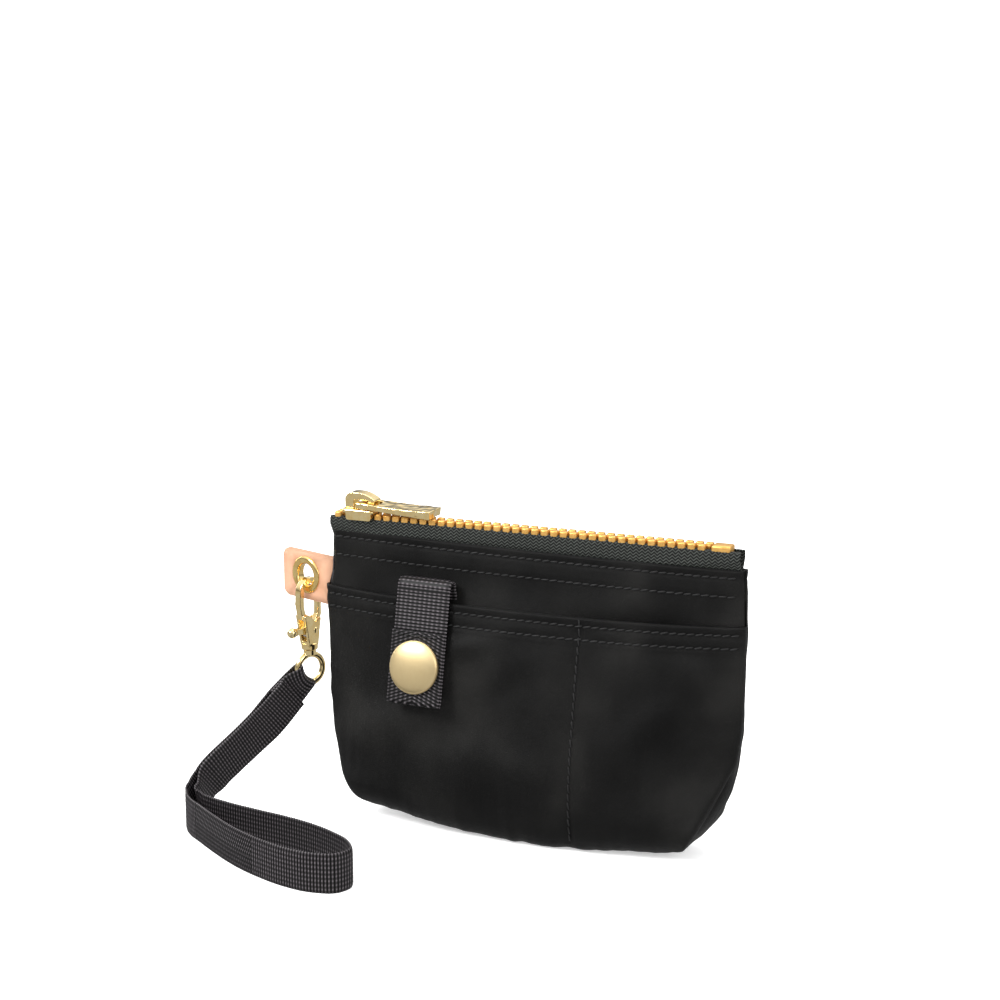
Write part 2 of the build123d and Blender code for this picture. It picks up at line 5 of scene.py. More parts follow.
import bmesh
import bpy
import numpy as np
from mathutils import Matrix, Vector, noise


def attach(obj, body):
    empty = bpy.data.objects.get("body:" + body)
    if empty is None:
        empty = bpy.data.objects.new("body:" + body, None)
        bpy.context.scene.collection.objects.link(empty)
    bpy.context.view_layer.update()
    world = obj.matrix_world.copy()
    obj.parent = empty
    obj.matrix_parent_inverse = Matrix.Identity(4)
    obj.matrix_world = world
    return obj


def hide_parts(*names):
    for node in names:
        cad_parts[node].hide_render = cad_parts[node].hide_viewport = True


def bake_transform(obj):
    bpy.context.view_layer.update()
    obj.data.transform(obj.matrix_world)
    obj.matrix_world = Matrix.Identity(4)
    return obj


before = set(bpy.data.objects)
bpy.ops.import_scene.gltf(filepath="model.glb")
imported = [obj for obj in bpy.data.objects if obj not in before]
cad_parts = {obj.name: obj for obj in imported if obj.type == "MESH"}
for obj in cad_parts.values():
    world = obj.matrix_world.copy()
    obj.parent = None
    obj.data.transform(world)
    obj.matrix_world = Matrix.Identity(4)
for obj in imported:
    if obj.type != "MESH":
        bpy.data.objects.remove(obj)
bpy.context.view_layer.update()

# Looks for the zipped pouch. Lengths are in millimetres until a mesh is made: MM turns them
# into metres. X runs along the zip, Y to the back, Z up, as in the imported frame.
MM = 0.001
UP = np.array((0, 0, 1.0))
DICE = random.Random(11)

# --- pouch body ---
# height, half width, half depth in the middle, half depth at the seam
SECTIONS = np.array(
    [
        (0.0, 44.0, 11.0, 4.0),
        (1.5, 50.0, 13.5, 6.0),
        (4.0, 56.0, 15.5, 8.0),
        (9.5, 62.0, 17.3, 10.5),
        (17.0, 66.5, 18.6, 8.0),
        (27.0, 70.0, 18.8, 5.0),
        (42.0, 72.3, 17.0, 2.8),
        (60.0, 73.0, 12.8, 2.2),
        (78.5, 73.0, 7.6, 2.2),
        (96.5, 72.5, 4.9, 2.2),
    ]
)
FABRIC_TOP = 96.5
POCKET_TOP = 78.5
LINING_TOP = 87.5
# half the width of the body, and the thickness of its cloth
BODY_HALF = 73
CLOTH = 0.55
# power of the cross-section: a higher one is squarer
LENS_POWER = 2.4
# height below which an inner layer is lifted off the base
BASE_BLEND = 9.5
# how far the mouth of the pocket stands off, and the height where that begins
MOUTH_SLACK = 3.5
SLACK_START = 45.0
# half the width of the cloth laid flat, and the share of it that closes each end
CLOTH_HALF = 76.0
END_SHARE = 0.045
# folded bands and rows of stitches, by their distance below the top edge
HEM_BAND = 9.6
TOP_ROWS = (2.6, 8.6)
POCKET_BAND = 8.5
POCKET_ROWS = (2.7, 7.0)
DIVIDER_X = 20.8
# at the left the top edge and the base rise, and the lug pulls the edge outwards
LEFT_RISE = 1.7
BASE_RISE = 2.2
LUG_PULL = 0.8
# pitch and slant of the stitches, and the distance from a row's end to the side seam
STITCH_PITCH = 2.8
STITCH_SLANT = 10.0
ROW_END = 1.0

# --- zip ---
TAPE_LEFT = -71.2
TAPE_RIGHT = 71.0
TAPE_THICK = 0.5
TAPE_STEP = 0.21
# weave of the tape: pitch down it, pitch of its zigzag along it, height of the yarn
TAPE_WEAVE = (1.05, 2.0, 0.15)
FIRST_TOOTH = -60.6
TOOTH_PITCH = 3.3
TOOTH_COUNT = 37
# moulded blocks: distance from the middle and height of the centre, size, rounding
TOOTH_BODY = ((1.62, 102.9), (2.5, 2.25, 2.6), 0.5)
TOOTH_HEAD = ((0.28, 102.7), (1.35, 1.5, 1.8), 0.4)
TOP_STOP_X = -68.6
TOP_STOP = ((1.55, 102.9), (2.4, 2.4, 2.6), 0.6)
BOTTOM_STOP_X = 64.6
BOTTOM_STOP = ((0.0, 102.9), (6.4, 5.5, 2.6), 0.7)

# --- snap tab ---
TAB_X = -33.3
TAB_TURN = 3.0
FOLD_Y = -8.6
FOLD_Z = 83.3
WEB = 1.3
FOLD_MID = 2.05
TAB_LEAN = 7.86
TAB_BOTTOM = 45.0
TAB_HALF = 9.4
# top of the doubled hem, and the turn of the webbing at its lower edge
HEM_TOP = 68.5
HEM_TURN = 0.68
ANCHOR_BOTTOM = 68.0
ANCHOR_LEAN = 2.85
# spacing of the ribs, and where along the webbing they turn slanting
TAB_RIBS = 1.12
TAB_TWILL = (61.5, 200.0)
CAP_DROP = 26.7
CAP_RADIUS = 8.75
# rim and stem of the cap: radius, height over the webbing
CAP_RIM = [
    (8.56, 1.3), (8.6, 1.12), (8.72, 1.1), (8.82, 0.9), (8.84, 0.5), (8.76, 0.2), (8.5, 0.02),
    (1.5, 0.0), (1.5, -3.1),
]

# --- lug, clasp and strap ---
LUG_AT = (-84.4, 5.6, 79.0)
LUG_TURN = 19.0
# turned profiles: radius, height over the middle of the leather or of the clasp
EYELET_BARREL = [
    (3.86, 0.9), (3.8, 0.2), (3.8, -1.2), (3.95, -1.62), (4.24, -1.62), (4.24, 0.6), (6.5, 0.95),
]
WASHER = [
    (4.27, -1.0), (6.45, -1.0), (6.55, -1.15), (6.4, -1.5), (5.6, -1.72), (4.6, -1.68),
    (4.27, -1.4),
]
PIN_HEAD = [(0.0, 2.8), (0.5, 2.78), (1.0, 2.62), (1.15, 2.4), (0.74, 2.3)]
PIN_U = -0.9
PIN_Z = 59.2
RING_Z = 45.2
STRAP_TURN = 28.8
STRAP_HALF = 6.5
LAYER = 1.3
STRAP_RIBS = 1.06
STRAP_TWILL = (168.0, 205.0)
# direction in which the webbing leaves the ring, in degrees above level
PULL = -38.0
# step across every piece of webbing
WEAVE_STEP = 0.34

# --- stage: the floor as (radius, height), and the sky as (height from 0 to 1, grey) ---
FLOOR_PROFILE = (
    (0.01, 0), (1500, 0), (2500, 0), (2900, 60), (3200, 250), (3400, 600), (3450, 1400)
)
FLOOR_SIDES = 72
FLOOR_GLOW = 0.42
SKY = ((0.0, 0.5), (0.13, 0.15), (0.4, 0.85), (0.75, 1.3))

# --- camera ---
CAMERA_AT = (245.40, -629.68, 260.87)
CAMERA_AZIMUTH = 22.15
CAMERA_ELEVATION = 12.33
CAMERA_LENS = 76.96


# --- meshes ---
def placed(name, data):
    """A new object in the scene."""
    made = bpy.data.objects.new(name, data)
    bpy.context.scene.collection.objects.link(made)
    return made


@contextmanager
def reworked(mesh):
    """A mesh opened for changes and written back after them."""
    work = bmesh.new()
    work.from_mesh(mesh)
    yield work
    work.to_mesh(mesh)
    work.free()


def add_mesh(name, points, faces, material, uv=None):
    """A new object from points in millimetres, with a UV map in millimetres."""
    mesh = bpy.data.meshes.new(name)
    mesh.from_pydata((np.asarray(points, float) * MM).tolist(), [], faces)
    mesh.update()
    if uv is not None:
        layer = mesh.uv_layers.new(name="Cloth")
        corners = np.empty(len(mesh.loops), np.int32)
        mesh.loops.foreach_get("vertex_index", corners)
        layer.data.foreach_set("uv", np.asarray(uv, np.float32)[corners].ravel())
    mesh.polygons.foreach_set("use_smooth", [True] * len(mesh.polygons))
    mesh.materials.append(material)
    return placed(name, mesh)


def grid_faces(rows, columns, offset=0, flip=False, wrap=False):
    """Quads of a grid whose points are stored row by row."""
    faces = []
    for i in range(rows - 1):
        for j in range(columns if wrap else columns - 1):
            k = (j + 1) % columns
            quad = (
                offset + i * columns + j,
                offset + i * columns + k,
                offset + (i + 1) * columns + k,
                offset + (i + 1) * columns + j,
            )
            faces.append(quad[::-1] if flip else quad)
    return faces


def grid_normals(grid):
    """Unit normals of a grid of points, from its own rows and columns."""
    across = np.gradient(grid, axis=1)
    down = np.gradient(grid, axis=0)
    normal = np.cross(across, down)
    length = np.linalg.norm(normal, axis=2, keepdims=True)
    return normal / np.maximum(length, 1e-9)


def slab(name, outer, inner, uv, material):
    """A closed sheet between an outer and an inner grid of the same size."""
    rows, columns = outer.shape[:2]
    count = rows * columns
    points = np.concatenate([outer.reshape(-1, 3), inner.reshape(-1, 3)])
    faces = grid_faces(rows, columns)
    faces += grid_faces(rows, columns, offset=count, flip=True)
    for i in range(rows - 1):
        a, b = i * columns, (i + 1) * columns
        faces.append((a, b, b + count, a + count))
        a, b = a + columns - 1, b + columns - 1
        faces.append((b, a, a + count, b + count))
    for j in range(columns - 1):
        faces.append((j + 1, j, j + count, j + 1 + count))
        a = (rows - 1) * columns + j
        faces.append((a, a + 1, a + 1 + count, a + count))
    both = np.concatenate([uv.reshape(-1, 2), uv.reshape(-1, 2)])
    made = add_mesh(name, points, faces, material, both)
    with reworked(made.data) as work:
        bmesh.ops.recalc_face_normals(work, faces=work.faces)
    return made


def joined(name, parts, material):
    """One mesh from parts of (points, faces)."""
    points, faces, base = [], [], 0
    for part, part_faces in parts:
        points.append(part)
        faces += [tuple(k + base for k in face) for face in part_faces]
        base += len(part)
    return add_mesh(name, np.concatenate(points), faces, material)


def turned_points(profile, sides):
    """Rings of points about Z, from a profile of (radius, height)."""
    angles = [2 * math.pi * j / sides for j in range(sides)]
    return [(r * math.cos(t), r * math.sin(t), height) for r, height in profile for t in angles]


def smoothstep(value, low, high):
    share = np.clip((value - low) / (high - low), 0.0, 1.0)
    return share * share * (3 - 2 * share)


def run_length(points):
    """Distance along a line of points, from its first point."""
    steps = np.linalg.norm(np.diff(points, axis=0), axis=1)
    return np.concatenate([[0], np.cumsum(steps)])


def along_line(place, run, line):
    """What a line of points holds at one or more distances along it."""
    return np.stack([np.interp(place, run, column) for column in line.T], -1)


def keep_yarn(made, yarn):
    """Keeps the height of the yarn on both faces of a sheet, for its material."""
    attribute = made.data.attributes.new("yarn", "FLOAT", "POINT")
    values = np.concatenate([yarn.ravel(), yarn.ravel()]).astype(np.float32)
    attribute.data.foreach_set("value", values)


def turned(degrees_z):
    """Unit vectors of a vertical plane: its own direction, and its normal."""
    angle = math.radians(degrees_z)
    along = np.array((-math.sin(angle), -math.cos(angle), 0.0))
    normal = np.array((-math.cos(angle), math.sin(angle), 0.0))
    return along, normal


# --- materials ---
def set_stops(ramp, stops):
    """Puts stops of (place, colour) on a colour ramp."""
    while len(ramp.elements) < len(stops):
        ramp.elements.new(0.5)
    for element, (place, color) in zip(ramp.elements, stops):
        element.position = place
        element.color = (*color, 1)


class Shader:
    """A Principled material with short ways to add nodes to it."""

    def __init__(self, name, color, roughness, **values):
        self.material = bpy.data.materials.new(name)
        self.material.use_nodes = True
        self.tree = self.material.node_tree
        self.surface = self.tree.nodes["Principled BSDF"]
        self.surface.inputs["Base Color"].default_value = (*color, 1)
        self.surface.inputs["Roughness"].default_value = roughness
        for socket, value in values.items():
            self.surface.inputs[socket.replace("_", " ")].default_value = value
        self.height = None

    def node(self, kind, **settings):
        made = self.tree.nodes.new("ShaderNode" + kind)
        for key, value in settings.items():
            setattr(made, key, value)
        return made

    def link(self, source, target):
        self.tree.links.new(source, target)

    def place(self, scale, uv=True, turn=0.0):
        """Coordinates: the cloth's own millimetres, or the object's metres."""
        if uv:
            source = self.node("UVMap", uv_map="Cloth").outputs["UV"]
        else:
            source = self.node("TexCoord").outputs["Object"]
        mapping = self.node("Mapping")
        mapping.inputs["Scale"].default_value = tuple(np.broadcast_to(scale, 3))
        mapping.inputs["Rotation"].default_value = (0, 0, math.radians(turn))
        self.link(source, mapping.inputs["Vector"])
        return mapping.outputs["Vector"]

    def noise(self, place, detail, roughness=0.55):
        made = self.node("TexNoise")
        made.inputs["Scale"].default_value = 1.0
        made.inputs["Detail"].default_value = detail
        made.inputs["Roughness"].default_value = roughness
        self.link(place, made.inputs["Vector"])
        return made.outputs["Fac"]

    def colour(self, source, *stops):
        """Base colour from a ramp with stops of (place, colour)."""
        made = self.node("ValToRGB")
        set_stops(made.color_ramp, stops)
        self.link(source, made.inputs["Fac"])
        self.link(made.outputs["Color"], self.surface.inputs["Base Color"])

    def rough(self, source, low, high):
        made = self.node("MapRange")
        made.inputs["To Min"].default_value = low
        made.inputs["To Max"].default_value = high
        self.link(source, made.inputs["Value"])
        self.link(made.outputs["Result"], self.surface.inputs["Roughness"])

    def bump(self, source, depth_mm, strength=1.0):
        """Adds one more layer of relief on top of the earlier ones."""
        made = self.node("Bump")
        made.inputs["Distance"].default_value = depth_mm * MM
        made.inputs["Strength"].default_value = strength
        self.link(source, made.inputs["Height"])
        if self.height is not None:
            self.link(self.height, made.inputs["Normal"])
        self.height = made.outputs["Normal"]
        self.link(self.height, self.surface.inputs["Normal"])


def nylon():
    """Black satin nylon: broad soft lighter patches of painted sheen, fine vertical creases and a
    close weave.
    """
    made = Shader("nylon", (0.006, 0.006, 0.006), 0.45, Specular_IOR_Level=0.16)
    creases = made.noise(made.place((1.4, 0.10, 1)), 3.0)
    cloudy = made.noise(made.place((0.035, 0.028, 1), turn=25), 2.0, 0.4)
    weave = made.noise(made.place((2.6, 2.6, 1), turn=35), 3.0, 0.8)
    # Base colour: lighter where the broad cloudy noise is high, a painted sheen, with fine weave
    # grain added to it.
    weave_and_painted_sheen = made.node("Math", operation="MULTIPLY_ADD")
    made.link(weave, weave_and_painted_sheen.inputs[0])
    weave_and_painted_sheen.inputs[1].default_value = 0.42
    made.link(cloudy, weave_and_painted_sheen.inputs[2])
    made.colour(
        weave_and_painted_sheen.outputs["Value"],
        (0.50, (0.0008, 0.0008, 0.0008)),
        (0.70, (0.0032, 0.0031, 0.0029)),
        (0.98, (0.0125, 0.0120, 0.0110)),
    )
    made.rough(cloudy, 0.42, 0.54)
    made.bump(creases, 0.12, 0.6)
    made.bump(weave, 0.2, 1.0)
    return made.material


def lining_cloth():
    """Thin matte lining with a plain weave."""
    made = Shader("lining", (0.03, 0.03, 0.034), 0.8)
    weave = made.noise(made.place((1.8, 1.8, 1)), 2.0)
    made.colour(weave, (0.3, (0.022, 0.022, 0.026)), (0.7, (0.04, 0.04, 0.045)))
    made.bump(weave, 0.05, 0.5)
    return made.material


def woven(name, gap_painted_shade, light, roughness):
    """Webbing and tape: a painted highlight on the yarn tops and painted shade in the gaps
    between yarns, from the mesh's own relief.
    """
    made = Shader(name, gap_painted_shade, roughness, Specular_IOR_Level=0.2)
    relief = made.node("Attribute", attribute_name="yarn").outputs["Fac"]
    middle = tuple(0.7 * low + 0.3 * high for low, high in zip(gap_painted_shade, light))
    # The ramp paints shade into the gaps between yarns and a lighter highlight onto the yarn
    # tops.
    made.colour(relief, (0.3, gap_painted_shade), (0.65, middle), (0.96, light))
    fibre = made.noise(made.place((6.0, 3.0, 1)), 2.0)
    made.bump(fibre, 0.06, 0.6)
    return made.material


def thread():
    """Twisted sewing thread, a little lighter than the cloth."""
    made = Shader("thread", (0.02, 0.02, 0.021), 0.5, Specular_IOR_Level=0.4)
    twist = made.noise(made.place(3000, uv=False), 1.0)
    made.colour(twist, (0.3, (0.003, 0.003, 0.003)), (0.8, (0.016, 0.0165, 0.017)))
    made.bump(twist, 0.05, 0.5)
    return made.material


def plated(name, color, hollow_painted_shade, roughness, wave=0.05):
    """Gold plating on a casting: slight waviness, small wear, and painted shade that makes the
    hollows of the waviness darker and deeper in colour.
    """
    made = Shader(name, color, roughness, Metallic=1.0)
    wavy = made.noise(made.place(420, uv=False), 2.0)
    wear = made.noise(made.place(1500, uv=False), 4.0)
    # Darker, deeper gold where the waviness is low: painted shade in its hollows.
    made.colour(wavy, (0.3, hollow_painted_shade), (0.65, color))
    made.rough(wear, roughness * 0.9, roughness * 1.15)
    made.bump(wavy, wave, 0.6)
    return made.material


def tooth_gold():
    """Moulded teeth with a matte orange gold finish."""
    made = Shader("zip_teeth", (0.80, 0.50, 0.17), 0.34, Metallic=0.7)
    speckle = made.noise(made.place(900, uv=False), 3.0)
    made.colour(speckle, (0.3, (0.62, 0.33, 0.075)), (0.7, (0.78, 0.45, 0.13)))
    made.rough(speckle, 0.26, 0.44)
    made.bump(speckle, 0.03, 0.5)
    return made.material


def leather():
    """Natural tan leather with a fine pore pattern."""
    made = Shader("tan_leather", (0.62, 0.35, 0.22), 0.55)
    cloudy = made.noise(made.place(160, uv=False), 4.0)
    pores = made.node("TexVoronoi", feature="DISTANCE_TO_EDGE")
    pores.inputs["Scale"].default_value = 1.0
    made.link(made.place(1700, uv=False), pores.inputs["Vector"])
    made.colour(cloudy, (0.3, (0.47, 0.245, 0.145)), (0.7, (0.54, 0.30, 0.185)))
    made.rough(cloudy, 0.45, 0.62)
    made.bump(pores.outputs["Distance"], 0.05, 0.5)
    return made.material


def steel():
    """Bare spring steel with fine drawn lines."""
    made = Shader("spring_steel", (0.55, 0.55, 0.56), 0.3, Metallic=1.0)
    lines = made.noise(made.place((200, 4000, 200), uv=False), 3.0)
    made.rough(lines, 0.22, 0.4)
    made.bump(lines, 0.02, 0.4)
    return made.material


def floor_paint():
    """Plain pale floor, lifted a little so that it stays white far away."""
    made = Shader("floor", (0.9, 0.9, 0.9), 0.9, Specular_IOR_Level=0.0)
    made.surface.inputs["Emission Color"].default_value = (1, 1, 1, 1)
    made.surface.inputs["Emission Strength"].default_value = FLOOR_GLOW
    return made.material


# --- cloth of the body ---
def hermite(x, xs, ys):
    """A smooth curve through (xs, ys)."""
    slope = np.gradient(ys, xs)
    k = np.clip(np.searchsorted(xs, x, side="right") - 1, 0, len(xs) - 2)
    span = xs[k + 1] - xs[k]
    t = (x - xs[k]) / span
    return (
        ys[k] * (2 * t**3 - 3 * t**2 + 1)
        + slope[k] * span * (t**3 - 2 * t**2 + t)
        + ys[k + 1] * (3 * t**2 - 2 * t**3)
        + slope[k + 1] * span * (t**3 - t**2)
    )


def section(z):
    """Half width, half depth in the middle and half depth at the seam, at a height."""
    return [hermite(z, SECTIONS[:, 0], SECTIONS[:, n]) for n in (1, 2, 3)]


def wavy(x, z, size_x, size_z, seed):
    """Smooth noise from about -1 to 1 over two arrays."""
    flat = np.stack([x / size_x, z / size_z], -1).reshape(-1, 2)
    values = [noise.noise(Vector((a, b, seed * 7.3))) for a, b in flat]
    return np.array(values).reshape(x.shape) * 1.6


def depth_of(s, z, inset, slack, sink):
    """Half depth of a layer at shares s of its half width and heights z."""
    _, middle, seam = section(z)
    middle = middle + slack * np.clip((z - SLACK_START) / (POCKET_TOP - SLACK_START), 0, 1)
    depth = (seam - inset) + (middle - seam) * (1 - np.abs(s) ** LENS_POWER)
    sunk, full_below, none_above = sink
    share = 1 - smoothstep(z, full_below, none_above)
    return depth - sunk * share * np.clip(depth / 9, 0, 1)


class Body:
    """One layer of cloth as a grid that other pieces can be placed on."""

    def __init__(self, side, top, relief, inset, step, slack=0.0, panel=0.0,
                 sink=(0.0, 0.0, 1.0)):
        """A layer on one side, inset from the outline. A panel rises at its left corner;
        sink moves a layer inwards: how far, full below and none above two heights."""
        self.side = side
        self.rows_z = np.concatenate([np.arange(top, 6.0, -step), np.arange(6.0, 0.3, -step / 2)])
        base = np.linspace(1.0, 0.0, max(6, int(13 / step)))
        z = np.concatenate([self.rows_z, np.zeros(len(base))])
        inward = np.concatenate([np.ones(len(self.rows_z)), base])[:, None]
        self.a = np.linspace(-1, 1, int(2 * CLOTH_HALF / step) | 1)
        zz, aa = np.meshgrid(z, self.a, indexing="ij")
        s = np.clip(aa / (1 - END_SHARE), -1, 1)
        end = np.clip((np.abs(aa) - (1 - END_SHARE)) / END_SHARE, 0, 1)
        x = s * (section(zz)[0] - inset)
        y = side * depth_of(s, zz, inset, slack, sink) * (1 - end) * inward
        lift = inset * np.clip(1 - zz / BASE_BLEND, 0, 1)
        left = np.clip(-x / BODY_HALF, 0, 1) ** 5
        x = x + panel * left * smoothstep(zz, POCKET_TOP - 4, POCKET_TOP + 3)
        x = x - LUG_PULL * left * smoothstep(zz, 62.0, 74.0) * (1 - smoothstep(zz, 79.0, 82.0))
        lift = lift + BASE_RISE * np.clip(-x / 46.0, 0, 1.1) ** 2 * np.exp(-zz / 9.0)
        tilt = np.clip((BODY_HALF - x) / (2 * BODY_HALF), 0, 1) ** 1.2 * LEFT_RISE * panel
        raised = tilt * smoothstep(zz, POCKET_TOP - 25, FABRIC_TOP)
        self.grid = self.soften(np.stack([x, y, zz + lift + raised], -1), round(5 / step))
        self.length = self.arc()
        height = relief(x, zz) * (1 - end) * inward
        self.grid = self.grid + self.face_out(grid_normals(self.grid)) * height[..., None]
        self.normal = self.face_out(grid_normals(self.grid))

    @staticmethod
    def soften(grid, passes):
        """Rounds the corners of the grid, and leaves its border alone."""
        grid = grid.copy()
        for _ in range(passes):
            grid[:, 1:-1] += 0.25 * (grid[:, :-2] + grid[:, 2:] - 2 * grid[:, 1:-1])
            grid[1:-1] += 0.25 * (grid[:-2] + grid[2:] - 2 * grid[1:-1])
        return grid

    def face_out(self, normal):
        middle = normal[normal.shape[0] // 3, normal.shape[1] // 2]
        return normal if middle[1] * self.side > 0 else -normal

    def arc(self):
        """Length down the cloth from its top edge, for the weave."""
        step = np.linalg.norm(np.diff(self.grid, axis=0), axis=2)
        return np.concatenate([np.zeros((1, step.shape[1])), np.cumsum(step, axis=0)])

    def at(self, x, z):
        """Points and normals on the cloth at given x and heights."""
        x, z = np.asarray(x, float), np.asarray(z, float)
        half_width = section(z)[0]
        a = np.clip(x / half_width, -1, 1) * (1 - END_SHARE)
        column = np.interp(a, self.a, np.arange(len(self.a)))
        row = np.interp(-z, -self.rows_z, np.arange(len(self.rows_z)))
        i, j = np.floor(row).astype(int), np.floor(column).astype(int)
        i, j = np.clip(i, 0, len(self.rows_z) - 2), np.clip(j, 0, len(self.a) - 2)
        v, u = (row - i)[:, None], (column - j)[:, None]

        def mix(g):
            return (
                g[i, j] * (1 - u) * (1 - v)
                + g[i, j + 1] * u * (1 - v)
                + g[i + 1, j] * (1 - u) * v
                + g[i + 1, j + 1] * u * v
            )

        return mix(self.grid), mix(self.normal)

    def piece(self, name, thick, material):
        """The closed sheet."""
        x = np.broadcast_to(self.a * CLOTH_HALF, self.grid.shape[:2])
        uv = np.stack([x, self.length], -1)
        inner = self.grid - self.normal * thick[..., None]
        return slab(name, self.grid, inner, uv, material)


def near_side(x, z):
    """1 at the side seams, fading over 5 mm."""
    gap = section(np.clip(z, 0, 96))[0] - np.abs(x)
    return np.exp(-np.clip(gap, 0, 99) / 5.0)


def groove(distance, depth, half):
    return -depth * np.exp(-((distance / half) ** 2))


def row_of_stitches(x, drop, at):
    """The line that a row of stitches presses into the cloth, and its small puckers."""
    gap = drop - at
    line = groove(gap, 0.34, 0.75)
    crimp = 0.07 * np.cos(2 * math.pi * x / STITCH_PITCH) * np.exp(-np.abs(gap) / 1.4)
    pucker = 0.16 * wavy(x, drop, 4.2, 60.0, at) * np.exp(-np.abs(gap) / 4.5)
    return line + crimp + pucker


def panel_relief(x, z):
    """Front or back panel: hem band, two rows of stitches and soft waves."""
    drop = FABRIC_TOP - z
    relief = 0.28 * (1 - smoothstep(drop, HEM_BAND - 0.5, HEM_BAND + 0.6))
    for at in TOP_ROWS:
        relief = relief + row_of_stitches(x, drop, at)
    calm = smoothstep(drop, 4.0, 22.0)
    relief = relief + 0.9 * calm * wavy(x, z, 22.0, 16.0, 3)
    return relief + 0.22 * calm * wavy(x, z, 7.0, 30.0, 4)


def front_relief(x, z):
    """The front panel lies flat, a little further in, where the pocket covers it."""
    covered = smoothstep(POCKET_TOP - 3.0 - z, 0.0, 9.0)
    return panel_relief(x, z) * (1 - covered) - 1.0 * covered


# the fold of the gusset at the lower right: its upper and lower ends, x and z
GUSSET_FOLD = ((67.0, 27.0), (55.0, 3.0))
# soft swellings of the pocket: x, z, half length, half height, turn, height
SWELLINGS = (
    (-52, 33, 15, 7, 25, 0.9),
    (-56, 14, 9, 8, -20, 0.6),
    (-18, 66, 14, 4, 24, 0.7),
    (-4, 52, 10, 5, 35, -0.6),
    (-20, 38, 16, 7, 20, -0.6),
    (2, 26, 20, 7, -12, 0.6),
    (44, 46, 13, 6, 40, 0.7),
    (36, 24, 12, 8, -30, -0.5),
    (58, 62, 9, 6, -35, 0.6),
    (54, 30, 7, 12, 10, -0.7),
    (-64, 58, 5, 14, -8, -0.5),
)


def swelling(x, z, place):
    cx, cz, long, high, turn, height = place
    c, s = math.cos(math.radians(turn)), math.sin(math.radians(turn))
    u = ((x - cx) * c + (z - cz) * s) / long
    v = (-(x - cx) * s + (z - cz) * c) / high
    return height * np.exp(-(u * u + v * v))


def divider(z):
    """The divider seam leans a little to the left on its way down."""
    return DIVIDER_X - 1.2 * (1 - z / POCKET_TOP)


def divider_seam(x, z):
    """The groove that the divider's stitches press into the pocket, with its puckers."""
    gap = x - divider(z)
    seam = groove(gap, 0.45, 1.2) + groove(gap, 0.35, 5.0)
    seam = seam + 0.12 * wavy(z, x, 3.6, 60.0, 5) * np.exp(-np.abs(gap) / 4.0)
    return seam * smoothstep(POCKET_TOP - z, 1.0, 5.0) * smoothstep(z, 0.0, 7.0)


def gusset_fold(x, z):
    """A ridge along the fold of the gusset, and the lower cloth to the right of it."""
    (ax, az), (bx, bz) = GUSSET_FOLD
    length = math.hypot(bx - ax, bz - az)
    beyond = ((x - ax) * (bz - az) - (z - az) * (bx - ax)) / length
    along = ((x - ax) * (bx - ax) + (z - az) * (bz - az)) / length
    reach = smoothstep(along, -12.0, 2.0) * (1 - smoothstep(along, length, length + 5))
    fold = 0.7 * np.exp(-((beyond / 2.0) ** 2)) - 1.9 * smoothstep(-beyond, 0.0, 3.2)
    return fold * reach * (x > 30)


def pocket_relief(x, z):
    """Slip pocket: folded edge, two rows, the divider seam, swellings and creases."""
    drop = POCKET_TOP - z
    relief = 0.25 * (1 - smoothstep(drop, POCKET_BAND - 0.5, POCKET_BAND + 0.5))
    for at in POCKET_ROWS:
        relief = relief + row_of_stitches(x, drop, at)
    calm = smoothstep(drop, 3.0, 14.0)
    for place in SWELLINGS:
        relief = relief + 2.0 * calm * swelling(x, z, place)
    relief = relief + 0.45 * calm * wavy(x, z, 24.0, 30.0, 8)
    relief = relief + 0.12 * calm * wavy(x, z, 3.2, 26.0, 9)
    calmer = 0.25 + 0.75 * smoothstep(np.abs(x - divider(z)), 1.0, 9.0)
    relief = relief * calmer + divider_seam(x, z)
    relief = relief + 0.35 * near_side(x, z) * wavy(z, x, 5.5, 30.0, 6) * calm
    relief = relief + 0.35 * np.exp(-z / 7.0) * wavy(x, z, 5.0, 30.0, 7)
    return relief + gusset_fold(x, z)


def back_relief(x, z):
    """The back panel has its own creases along the side seams and the base."""
    relief = panel_relief(x, z) + 0.3 * near_side(x, z) * wavy(z, x, 5.5, 30.0, 16)
    return relief + 0.3 * np.exp(-z / 7.0) * wavy(x, z, 5.0, 30.0, 17)


def lining_relief(x, z):
    """The lining hangs clear of the waves of the panel outside it."""
    return -1.2 * smoothstep(LINING_TOP - z, 0.5, 9.0)


def hemmed(body, band, thick):
    """Thickness over a layer: doubled along its folded top edge."""
    drop = body.rows_z[0] - body.grid[..., 2]
    return thick * (1 + 0.9 * (1 - smoothstep(drop, band - 0.5, band + 0.5)))


# --- stitches ---
def capsule(half, radius, sides=8, rings=7):
    """Points of a small rounded rod along X, and its faces."""
    places = [-1 + 2 * i / (rings - 1) for i in range(rings)]
    profile = [(radius * math.sqrt(max(0.02, 1 - abs(t) ** 3.5)), t * half) for t in places]
    points = [(height, y, z) for y, z, height in turned_points(profile, sides)]
    faces = grid_faces(rings, sides, wrap=True)
    faces.append(tuple(range(sides))[::-1])
    faces.append(tuple(range((rings - 1) * sides, rings * sides)))
    return np.array(points), faces


